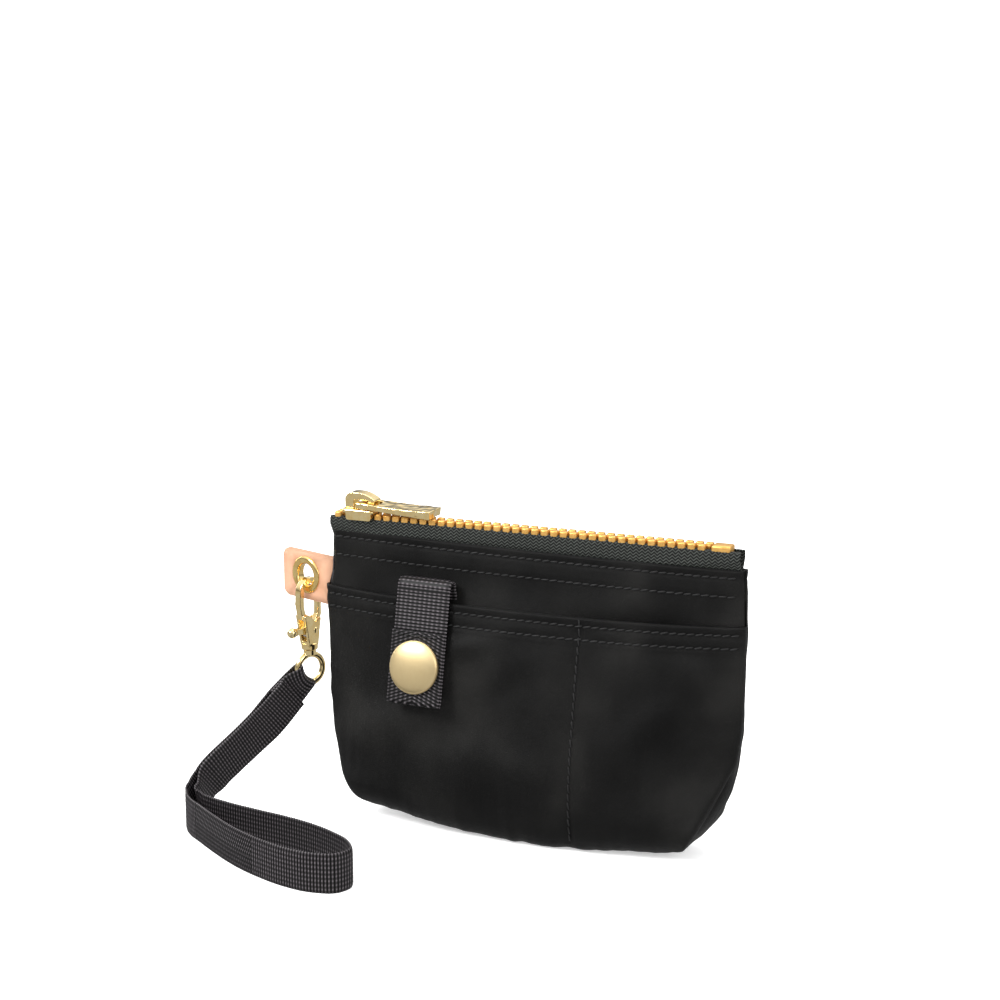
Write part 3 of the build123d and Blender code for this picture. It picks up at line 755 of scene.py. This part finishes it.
def stitches(name, points, normals, material, pitch=STITCH_PITCH, length=2.65, radius=0.29):
    """Separate threads along a line on the cloth, each a little slanted and sunk."""
    run = run_length(points)
    rod, rod_faces = capsule(length / 2, radius)
    parts = []
    for place in np.arange(pitch * 0.6, run[-1] - pitch * 0.4, pitch):
        spot = along_line(place, run, points)
        up = along_line(place, run, normals)
        along = along_line(place + 0.5, run, points) - spot
        along /= max(np.linalg.norm(along), 1e-9)
        up -= along * np.dot(up, along)
        up /= np.linalg.norm(up)
        side = np.cross(up, along)
        angle = math.radians(STITCH_SLANT + DICE.uniform(-4, 4))
        lay = along * math.cos(angle) + side * math.sin(angle)
        across = np.cross(up, lay)
        size = 1 + DICE.uniform(-0.07, 0.07)
        arch = 1 - (rod[:, :1] / (length / 2)) ** 2
        local = rod[:, :1] * lay * size + rod[:, 1:2] * across
        local = local + (rod[:, 2:3] + 0.10 * arch) * up
        parts.append((local + spot + up * radius * 0.25, rod_faces))
    return joined(name, parts, material)


def level_row(body, drop):
    """A line along the cloth at one distance below its top edge."""
    x = np.linspace(ROW_END - BODY_HALF, BODY_HALF - ROW_END, 240)
    return body.at(x, np.full_like(x, body.rows_z[0] - drop))


# --- webbing ---
def weave_ribbon(name, stations, half, thick, pitch, columns, material, relief, twill,
                 bow_axis=None):
    """Webbing along stations of (centre, width direction, half width, cup). Its ribs turn
    slanting over the stretch of its length that twill names."""
    centre, across, widths, cups = stations
    tangent = np.gradient(centre, axis=0)
    tangent /= np.linalg.norm(tangent, axis=1)[:, None]
    run = run_length(centre)[:, None]
    across = across - tangent * np.sum(across * tangent, axis=1, keepdims=True)
    across /= np.linalg.norm(across, axis=1, keepdims=True)
    normal = np.cross(tangent, across)
    v = np.linspace(-1, 1, int(2 * half / WEAVE_STEP) | 1)[None, :]
    side = np.abs(v)
    rib = 0.5 + 0.5 * np.cos(2 * math.pi * run / pitch)
    bead = 0.5 + 0.5 * np.cos(math.pi * (v + 1) * columns)
    yarn = rib**0.8 * (0.55 + 0.45 * bead)
    slope = 0.5 + 0.5 * np.cos(2 * math.pi * (run / pitch + 3.2 * side))
    inside = (run > twill[0]) & (run < twill[1])
    yarn = np.where(inside, slope * (0.45 + 0.55 * bead), yarn)
    height = (thick / 2 - relief + relief * yarn) * (0.35 + 0.65 * (1 - side**10))
    wide = (widths[:, None] * v * (1 + 0.02 * rib * (side > 0.97)))[..., None]
    middle = centre[:, None, :] + across[:, None, :] * wide
    if bow_axis is not None:
        middle = middle - cups[:, None, None] * wide**2 * bow_axis
    rise = normal[:, None, :] * height[..., None]
    uv = np.stack(np.broadcast_arrays(run, v * half), -1)
    made = slab(name, middle + rise, middle - rise, uv, material)
    keep_yarn(made, yarn)
    return made


def spline(points, spacing):
    """A smooth line through points, sampled at an even spacing."""
    points = np.asarray(points, float)
    run = run_length(points[:, :3])
    fine = np.linspace(0, run[-1], 1500)
    line = np.stack([hermite(fine, run, column) for column in points.T], -1)
    length = run_length(line[:, :3])
    even = np.linspace(0, length[-1], max(3, int(length[-1] / spacing)))
    return along_line(even, length, line)


# --- solid pieces ---
def cad_copy(node, name):
    """A fresh mesh object with a CAD node's shape, welded, in millimetres."""
    work = bmesh.new()
    work.from_mesh(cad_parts[node].data)
    bmesh.ops.scale(work, vec=(1 / MM,) * 3, verts=work.verts)
    bmesh.ops.remove_doubles(work, verts=work.verts, dist=0.002)
    mesh = bpy.data.meshes.new(name)
    work.to_mesh(mesh)
    work.free()
    return placed(name, mesh)


def rounded_block(size, rounding):
    """Points and faces of one block with rounded edges, about its own centre."""
    work = bmesh.new()
    bmesh.ops.create_cube(work, size=1.0)
    bmesh.ops.scale(work, vec=size, verts=work.verts)
    bmesh.ops.bevel(
        work, geom=work.edges[:], offset=rounding, segments=3, profile=0.5, affect="EDGES"
    )
    points = np.array([tuple(v.co) for v in work.verts])
    faces = [tuple(v.index for v in face.verts) for face in work.faces]
    work.free()
    return points, faces


def blocks(name, groups, material):
    """Equal moulded blocks, from groups of (centres, size, rounding)."""
    parts = []
    for centres, size, rounding in groups:
        block, faces = rounded_block(size, rounding)
        parts += [(block + np.array(centre), faces) for centre in centres]
    return joined(name, parts, material)


def finished(made, mesh, material):
    """Puts a worked mesh back on its object, in metres, with its material."""
    mesh.transform(Matrix.Scale(MM, 4))
    mesh.materials.clear()
    mesh.materials.append(material)
    mesh.polygons.foreach_set("use_smooth", [True] * len(mesh.polygons))
    made.modifiers.clear()
    made.data = mesh
    return made


def cast(node, material, voxel, rounds, wave=0.0):
    """A die-cast piece: the CAD shape with all its edges rounded and its faces uneven."""
    made = cad_copy(node, node + "_cast")
    grow = made.modifiers.new("remesh", "REMESH")
    grow.mode = "VOXEL"
    grow.voxel_size = voxel
    relax = made.modifiers.new("smooth", "SMOOTH")
    relax.factor = 0.5
    relax.iterations = rounds
    graph = bpy.context.evaluated_depsgraph_get()
    mesh = bpy.data.meshes.new_from_object(made.evaluated_get(graph))
    if wave:
        places = [vertex.co.copy() for vertex in mesh.vertices]
        normals = [vertex.normal.copy() for vertex in mesh.vertices]
        for vertex, place, normal in zip(mesh.vertices, places, normals):
            vertex.co = place + normal * noise.noise(place * 0.36) * wave
    return finished(made, mesh, material)


def bevelled(node, material, width, segments):
    """The CAD shape with its sharp edges bevelled."""
    made = cad_copy(node, node + "_bevelled")
    with reworked(made.data) as work:
        bmesh.ops.dissolve_limit(
            work, angle_limit=math.radians(1.0), verts=work.verts, edges=work.edges
        )
        edges = [e for e in work.edges if e.is_manifold]
        sharp = [e for e in edges if e.calc_face_angle(0) > math.radians(38)]
        bmesh.ops.bevel(
            work, geom=sharp, offset=width, segments=segments, affect="EDGES",
            clamp_overlap=True,
        )
        bmesh.ops.triangulate(work, faces=[f for f in work.faces if len(f.verts) > 4])
    finished(made, made.data, material)
    made.data.set_sharp_from_angle(angle=math.radians(40))
    return made


def lathe(name, profile, placing, material, sides=96, hollow=False):
    """A turned piece from a profile of (radius, height), in the frame placing."""
    if hollow:
        profile = profile + profile[:1]
    points = [tuple(placing @ Vector(point)) for point in turned_points(profile, sides)]
    made = add_mesh(name, points, grid_faces(len(profile), sides, wrap=True), material)
    with reworked(made.data) as work:
        bmesh.ops.remove_doubles(work, verts=work.verts, dist=1e-6)
        bmesh.ops.holes_fill(work, edges=work.edges, sides=sides)
        bmesh.ops.recalc_face_normals(work, faces=work.faces)
    made.data.set_sharp_from_angle(angle=math.radians(50))
    return made


def frame_of(origin, x_axis, y_axis, z_axis):
    """A placing matrix from an origin and three axes."""
    made = Matrix.Identity(4)
    for k, axis in enumerate((x_axis, y_axis, z_axis, origin)):
        for n in range(3):
            made[n][k] = axis[n]
    return made


def done(piece, body, slot, *nodes):
    """Sets what a rigid piece rides on and hides the CAD nodes it stands for; slot, its finish,
    is not used.
    """
    if nodes:
        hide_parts(*nodes)
    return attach(piece, body)


# --- building the object ---
def build_body(nylon_mat, lining_mat, thread_mat):
    """Panels, pocket and lining with their stitches."""
    front = Body(-1, FABRIC_TOP, front_relief, inset=0.7, step=0.9, panel=1.0,
                 sink=(2.2, POCKET_TOP - 14, POCKET_TOP - 4))
    back = Body(1, FABRIC_TOP, back_relief, inset=0.0, step=0.9, panel=1.0)
    pocket = Body(-1, POCKET_TOP, pocket_relief, inset=0.0, step=0.8, slack=MOUTH_SLACK)
    front_lining = Body(-1, LINING_TOP, lining_relief, inset=1.6, step=2.5,
                        sink=(2.4, 68.0, LINING_TOP))
    back_lining = Body(1, LINING_TOP, lining_relief, inset=0.9, step=2.5,
                       sink=(1.4, 74.0, LINING_TOP))
    made = front.piece("front_panel_cloth", hemmed(front, HEM_BAND, CLOTH), nylon_mat)
    done(made, "pouch", "nylon", "front_panel")
    made = back.piece("back_panel_cloth", hemmed(back, HEM_BAND, CLOTH), nylon_mat)
    done(made, "pouch", "nylon", "back_panel")
    made = pocket.piece("front_pocket_cloth", hemmed(pocket, POCKET_BAND, CLOTH), nylon_mat)
    done(made, "pouch", "nylon", "front_pocket")
    for layer, node in ((front_lining, "lining_front"), (back_lining, "lining_back")):
        thick = np.full(layer.grid.shape[:2], 0.3)
        made = layer.piece(node + "_cloth", thick, lining_mat)
        done(made, "pouch", "lining", node)
    rows = [
        ("stitches_front_top", front, TOP_ROWS),
        ("stitches_back_top", back, TOP_ROWS),
        ("stitches_pocket_edge", pocket, POCKET_ROWS),
    ]
    for name, layer, drops in rows:
        for k, drop in enumerate(drops):
            points, normals = level_row(layer, drop)
            done(stitches(f"{name}_{k + 1}", points, normals, thread_mat), "pouch", "nylon")
    z = np.linspace(POCKET_TOP + 1.0, 3.0, 160)
    points, normals = pocket.at(divider(z), z)
    made = stitches("stitches_divider", points, normals, thread_mat, pitch=3.0, length=2.8)
    done(made, "pouch", "nylon")


def tape_profile():
    """Section of the front tape, from its sewn edge up to the edge inside the teeth."""
    hidden = spline([(-2.3, 88.4), (-2.6, 90.5), (-2.85, 93), (-3.0, 95.5)], 0.8)
    seen = spline(
        [(-3.0, 95.5), (-3.1, 97.5), (-3.15, 99.5), (-3.1, 101.2), (-2.95, 102.1), (-2.4, 102.5),
         (-1.6, 102.6)],
        0.2,
    )
    return np.concatenate([hidden[:-1], seen])


def build_tape(side, name, node, material):
    """One half of the zip tape with its diamond weave."""
    profile = tape_profile()
    x = np.arange(TAPE_LEFT, TAPE_RIGHT, TAPE_STEP)
    down = run_length(profile)
    xx, dd = np.meshgrid(x, down, indexing="ij")
    yy = np.broadcast_to(profile[:, 0], xx.shape)
    zz = np.broadcast_to(profile[:, 1], xx.shape)
    room = section(np.clip(zz, 0, FABRIC_TOP))
    s = np.clip(np.abs(xx) / room[0], 0, 1)
    limit = room[2] + (room[1] - room[2]) * (1 - s**LENS_POWER) - 1.75
    free = np.maximum(limit, 0.45) + np.clip(zz - FABRIC_TOP + 0.8, 0, 9) * 0.6
    inside = np.minimum(np.abs(yy), free)
    pitch, zigzag_pitch, relief = TAPE_WEAVE
    zigzag = np.abs(2 * np.mod(xx / zigzag_pitch, 1.0) - 1)
    yarn = 0.5 + 0.5 * np.cos(2 * math.pi * (dd / pitch + 0.9 * zigzag))
    grid = np.stack([xx, -inside, zz], -1)
    normal = grid_normals(grid)
    if normal[normal.shape[0] // 2, 8][1] > 0:
        normal = -normal
    outer = grid + normal * (relief * yarn)[..., None]
    inner = grid - normal * (TAPE_THICK - 0.12)
    for g in (outer, inner):
        g[..., 1] *= -side
    uv = np.stack([xx, dd], -1)
    made = slab(name, outer, inner, uv, material)
    keep_yarn(made, yarn)
    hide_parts(node)
    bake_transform(made)


def moulded(starts, side, kind):
    """One group of equal blocks at places along the chain, on one side of its middle."""
    (out, height), size, rounding = kind
    return [(x, side * out, height) for x in starts], size, rounding


def build_zip(tape_mat, tooth_mat, gold_mat):
    """Tapes, teeth, stops, slider and pull."""
    build_tape(-1, "tape_front_woven", "tape_front", tape_mat)
    build_tape(1, "tape_back_woven", "tape_back", tape_mat)
    for side, row, lip in ((-1, "front", "front_lip"), (1, "back", "back_lip")):
        first = FIRST_TOOTH + (side + 1) * TOOTH_PITCH / 4
        starts = first + TOOTH_PITCH * np.arange(TOOTH_COUNT)
        groups = [moulded(starts, side, TOOTH_BODY), moulded(starts, side, TOOTH_HEAD)]
        made = blocks("moulded_teeth_" + row, groups, tooth_mat)
        done(made, lip, "zip_teeth", "teeth_" + row)
        stop = moulded([TOP_STOP_X], side, TOP_STOP)
        made = blocks("moulded_top_stop_" + row, [stop], tooth_mat)
        done(made, lip, "zip_teeth", "top_stop_" + row)
    stop = moulded([BOTTOM_STOP_X], 1, BOTTOM_STOP)
    done(blocks("moulded_bottom_stop", [stop], tooth_mat), "pouch", "zip_teeth", "bottom_stop")
    done(cast("slider_body", gold_mat, 0.15, rounds=8), "slider", "gold_metal", "slider_body")
    done(cast("slider_crown", gold_mat, 0.15, rounds=12), "slider", "gold_metal", "slider_crown")
    done(cast("pull_tab", gold_mat, 0.17, rounds=9, wave=0.32), "pull", "gold_metal", "pull_tab")


def tab_route():
    """Centre line of the tab's webbing as (out, up), from its sewn end to its cut end."""
    drop = FOLD_Z - ANCHOR_BOTTOM
    rear = math.atan2(ANCHOR_LEAN, drop)
    front = math.atan2(TAB_LEAN, FOLD_Z - TAB_BOTTOM)
    length = math.hypot(TAB_LEAN, FOLD_Z - TAB_BOTTOM)
    line = []
    for t in np.linspace(drop, 1.0, 12):
        line.append((-FOLD_MID * math.cos(rear) - t * math.sin(rear), -t * math.cos(rear)))
    for t in np.linspace(math.pi + rear, -front, 16):
        line.append((FOLD_MID * math.cos(t), FOLD_MID * math.sin(t)))
    down = np.array((math.sin(front), -math.cos(front)))
    side = np.array((math.cos(front), math.sin(front)))
    for t in np.linspace(1.0, length - 0.8, 24):
        line.append(tuple(side * FOLD_MID + down * t))
    for t in np.linspace(-80, 80, 7):
        turn = math.radians(t)
        centre = side * (FOLD_MID + WEB / 2 + 0.03) + down * (length - 0.75)
        point = centre + side * HEM_TURN * math.sin(turn) + down * HEM_TURN * math.cos(turn)
        line.append(tuple(point))
    hem = (FOLD_Z - HEM_TOP) / math.cos(front)
    for t in np.linspace(length - 1.2, hem, 18):
        line.append(tuple(side * (FOLD_MID + WEB + 0.06) + down * t))
    return np.array(line), hem, side, down


def build_tab(web_mat, thread_mat, satin_mat, gold_mat):
    """The webbing tab, its hem stitches and the snap."""
    origin = np.array((TAB_X, FOLD_Y, FOLD_Z))
    out, normal = turned(TAB_TURN)
    across = -normal
    line, hem, side, down = tab_route()
    flat = spline(line, 0.24)
    centre = origin + flat[:, :1] * out + flat[:, 1:2] * UP
    count = len(centre)
    widths = np.full(count, TAB_HALF)
    stations = (centre, np.tile(across, (count, 1)), widths, np.zeros(count))
    made = weave_ribbon(
        "tab_webbing", stations, TAB_HALF, WEB, TAB_RIBS, 11, web_mat, 0.2, TAB_TWILL
    )
    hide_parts("tab_anchor", "tab_flap")
    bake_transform(made)

    face = FOLD_MID + WEB * 1.5 + 0.08
    side3 = side[0] * out + side[1] * UP
    down3 = down[0] * out + down[1] * UP

    def on_hem(u, t):
        return origin + side3 * face + down3 * t + across * u

    seam = np.array([on_hem(u, hem + 1.3) for u in np.linspace(-9.2, 9.2, 30)])
    normals = np.tile(side3, (30, 1))
    made = stitches(
        "stitches_tab_hem", seam, normals, thread_mat, pitch=2.1, length=1.7, radius=0.25
    )
    done(made, "snap_flap", "webbing")

    placing = frame_of(on_hem(0, CAP_DROP) - side3 * 0.06, across, -down3, side3)
    dome = [(CAP_RADIUS * math.sin(t), 1.0 + 1.95 * math.cos(t) ** 1.1)
            for t in np.linspace(0.02, 1.34, 22)]
    cap = lathe("snap_cap_dome", dome + CAP_RIM, placing, satin_mat, 128)
    done(cap, "snap_flap", "satin_gold", "snap_cap")


def build_lug(leather_mat, ring_mat):
    """Leather lug with its eyelet."""
    done(bevelled("leather_lug", leather_mat, 0.42, 3), "pouch", "tan_leather", "leather_lug")
    front, normal = turned(LUG_TURN)
    placing = frame_of(LUG_AT, -normal, UP, front)
    turns = np.linspace(0, 2.75, 16)
    roll = [(5.25 + 1.3 * math.cos(t), 1.0 + 0.85 * math.sin(t)) for t in turns]
    made = lathe("eyelet_ring", roll + EYELET_BARREL, placing, ring_mat, hollow=True)
    done(made, "pouch", "gold_metal", "eyelet")
    made = lathe("eyelet_washer_ring", WASHER, placing, ring_mat, hollow=True)
    done(made, "pouch", "gold_metal", "eyelet_washer")


def build_clasp(gold_mat):
    """Hook, gate, pin heads and swivel eye."""
    done(cast("hook_body", gold_mat, 0.14, rounds=26), "clasp", "gold_metal", "hook_body")
    done(cast("gate_lever", gold_mat, 0.13, rounds=16), "gate", "gold_metal", "gate_lever")
    done(cast("swivel_eye", gold_mat, 0.14, rounds=8), "swivel", "gold_metal", "swivel_eye")
    along, normal = turned(LUG_TURN)
    at = np.array((LUG_AT[0], LUG_AT[1], PIN_Z)) + along * PIN_U
    placing = frame_of(at, along, UP, normal)
    profile = PIN_HEAD + [(radius, -height) for radius, height in PIN_HEAD[::-1]]
    made = lathe("gate_pin_rivet", profile, placing, gold_mat, 48)
    done(made, "clasp", "gold_metal", "gate_pin")


# The wrist strap's webbing, from its cut end to its other end inside the eye.
# Front layer of the doubled length: distance from the clasp's axis, height, offset.
FRONT_LEAD = [
    (8.6, 38.6, -2.1),
    (12.5, 35.2, -2.0),
    (17.0, 31.2, -1.6),
    (22.0, 27.3, -0.95),
    (27.0, 24.0, -0.74),
    (33.0, 20.3, -0.72),
    (38.5, 16.8, -0.74),
    (42.5, 13.5, -0.95),
]
# The loop, lying on the surface: x, y and height of the middle of the webbing.
LOOP = [
    (-104.3, -35.5, 10.3),
    (-104.1, -39.0, 8.1),
    (-101.6, -41.4, 6.9),
    (-97.0, -43.1, 6.5),
    (-91.0, -44.9, 6.5),
    (-78.0, -47.6, 6.5),
    (-66.0, -49.6, 6.5),
    (-55.0, -52.4, 6.5),
    (-45.0, -56.6, 6.5),
    (-37.4, -61.6, 6.5),
    (-34.0, -67.0, 6.5),
    (-36.2, -72.6, 6.5),
    (-43.5, -75.0, 6.5),
    (-54.0, -73.9, 6.5),
    (-64.0, -70.6, 6.5),
    (-76.0, -65.0, 6.5),
    (-88.0, -57.4, 6.5),
    (-97.5, -50.6, 6.5),
    (-102.6, -46.9, 6.5),
    (-106.0, -43.4, 6.8),
    (-107.5, -39.6, 7.8),
    (-107.1, -35.6, 9.9),
]
# Back layer of the doubled length, up to the ring.
BACK_LEAD = [
    (42.5, 13.3, 0.74),
    (38.5, 16.8, 0.72),
    (33.0, 20.3, 0.72),
    (27.0, 24.0, 0.72),
    (20.0, 28.8, 0.74),
    (14.0, 33.9, 0.8),
]
# Around the ring: distance from its centre, offset, half width, cup.
EYE = [
    (9.0, 1.15, 5.7, 0.02),
    (7.0, 1.75, 5.0, 0.06),
    (5.2, 2.05, 4.6, 0.08),
    (3.8, 1.5, 4.5, 0.08),
    (3.15, 0.0, 4.5, 0.08),
    (3.8, -1.5, 4.5, 0.08),
    (5.2, -2.05, 4.6, 0.08),
    (7.0, -1.55, 5.2, 0.05),
    (8.8, -0.85, 5.9, 0.02),
    (11.5, -0.64, 6.3, 0.0),
    (16.0, -0.62, 6.4, 0.0),
]


def build_strap(web_mat):
    """Wrist strap: one length of webbing, doubled between the ring and its loop."""
    along, normal = turned(STRAP_TURN)
    axis = np.array((LUG_AT[0], LUG_AT[1], 0.0))

    def lead(u, z, offset):
        return (*(axis + along * u + UP * z + normal * offset), *UP, STRAP_HALF, 0.0)

    route = [lead(*station) for station in FRONT_LEAD]
    route += [(x, y, z, *UP, STRAP_HALF, 0.0) for x, y, z in LOOP]
    route += [lead(*station) for station in BACK_LEAD]
    pull = math.radians(PULL)
    out = along * math.cos(pull) + UP * math.sin(pull)
    wide = -along * math.sin(pull) + UP * math.cos(pull)
    ring = axis + UP * RING_Z
    for r, offset, half, cup in EYE:
        route.append((*(ring + out * r + normal * offset), *wide, half, cup))
    line = spline(route, 0.27)
    stations = (line[:, :3], line[:, 3:6], line[:, 6], line[:, 7])
    made = weave_ribbon(
        "wrist_strap_webbing", stations, STRAP_HALF, LAYER, STRAP_RIBS, 9, web_mat, 0.22,
        STRAP_TWILL, out,
    )
    done(made, "strap", "webbing", "wrist_strap")


def build_stage():
    """A pale floor that sweeps up into a low wall, a graded sky and soft lights."""
    points = turned_points(FLOOR_PROFILE, FLOOR_SIDES)
    faces = grid_faces(len(FLOOR_PROFILE), FLOOR_SIDES, wrap=True)
    floor = add_mesh("floor", points, faces, floor_paint())
    floor.visible_glossy = False
    world = bpy.data.worlds.new("pale")
    world.use_nodes = True
    tree = world.node_tree
    place = tree.nodes.new("ShaderNodeTexCoord")
    split = tree.nodes.new("ShaderNodeSeparateXYZ")
    grade = tree.nodes.new("ShaderNodeValToRGB")
    tree.links.new(place.outputs["Generated"], split.inputs["Vector"])
    tree.links.new(split.outputs["Z"], grade.inputs["Fac"])
    set_stops(grade.color_ramp, [(height, (grey, grey, grey)) for height, grey in SKY])
    tree.links.new(grade.outputs["Color"], tree.nodes["Background"].inputs["Color"])
    bpy.context.scene.world = world
    light("key", (-520, -620, 700), 300, 7.5)
    light("fill", (760, -420, 420), 420, 1.6)
    light("top", (60, 260, 900), 600, 3.0)
    light("rim", (-700, 300, 260), 300, 1.5)
    bpy.context.scene.view_settings.view_transform = "Standard"


def light(name, place, size, watts):
    """A soft square light that faces the pouch."""
    data = bpy.data.lights.new(name, "AREA")
    data.shape = "SQUARE"
    data.size = size * MM
    data.energy = watts
    made = placed(name, data)
    made.location = Vector(place) * MM
    towards = Vector((0, 0, 50)) - Vector(place)
    made.rotation_euler = towards.to_track_quat("-Z", "Y").to_euler()


def build_camera():
    """The camera at the viewing angle that the pouch is judged from."""
    a, e = math.radians(CAMERA_AZIMUTH), math.radians(CAMERA_ELEVATION)
    right = (math.cos(a), math.sin(a), 0)
    up = (-math.sin(a) * math.sin(e), math.cos(a) * math.sin(e), math.cos(e))
    back = (math.sin(a) * math.cos(e), -math.cos(a) * math.cos(e), math.sin(e))
    data = bpy.data.cameras.new("camera")
    data.lens = CAMERA_LENS
    data.sensor_width = 36.0
    data.clip_end = 50.0
    camera = placed("camera", data)
    camera.matrix_world = frame_of([v * MM for v in CAMERA_AT], right, up, back)
    bpy.context.scene.camera = camera


def paint_nodes(gold_mat, steel_mat):
    """Materials for the CAD nodes that stay as they are."""
    kept = {
        "snap_socket": gold_mat,
        "snap_stud": gold_mat,
        "snap_post": gold_mat,
        "gate_spring": steel_mat,
    }
    for node, material in kept.items():
        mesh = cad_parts[node].data
        mesh.materials.clear()
        mesh.materials.append(material)


def main():
    build_camera()
    build_stage()
    nylon_mat = nylon()
    thread_mat = thread()
    # The second colour of each gold is the painted shade of the hollows in its waviness.
    gold_mat = plated("gold_metal", (1.0, 0.82, 0.44), (0.96, 0.70, 0.30), 0.13)
    ring_mat = plated("eyelet_gold", (1.0, 0.76, 0.33), (0.90, 0.60, 0.20), 0.16, 0.03)
    satin_mat = plated("satin_gold", (0.93, 0.735, 0.405), (0.91, 0.71, 0.385), 0.38, 0.0)
    # Webbing and tape: near-black painted shade for the gaps between yarns, then a lighter
    # painted highlight for the yarn tops.
    web_mat = woven("webbing", (0.0010, 0.0010, 0.0010), (0.125, 0.111, 0.120), 0.45)
    tape_mat = woven("zip_tape", (0.0014, 0.0016, 0.0014), (0.062, 0.069, 0.062), 0.7)
    build_body(nylon_mat, lining_cloth(), thread_mat)
    build_zip(tape_mat, tooth_gold(), gold_mat)
    build_tab(web_mat, thread_mat, satin_mat, gold_mat)
    build_lug(leather(), ring_mat)
    build_clasp(gold_mat)
    build_strap(web_mat)
    paint_nodes(gold_mat, steel())


main()
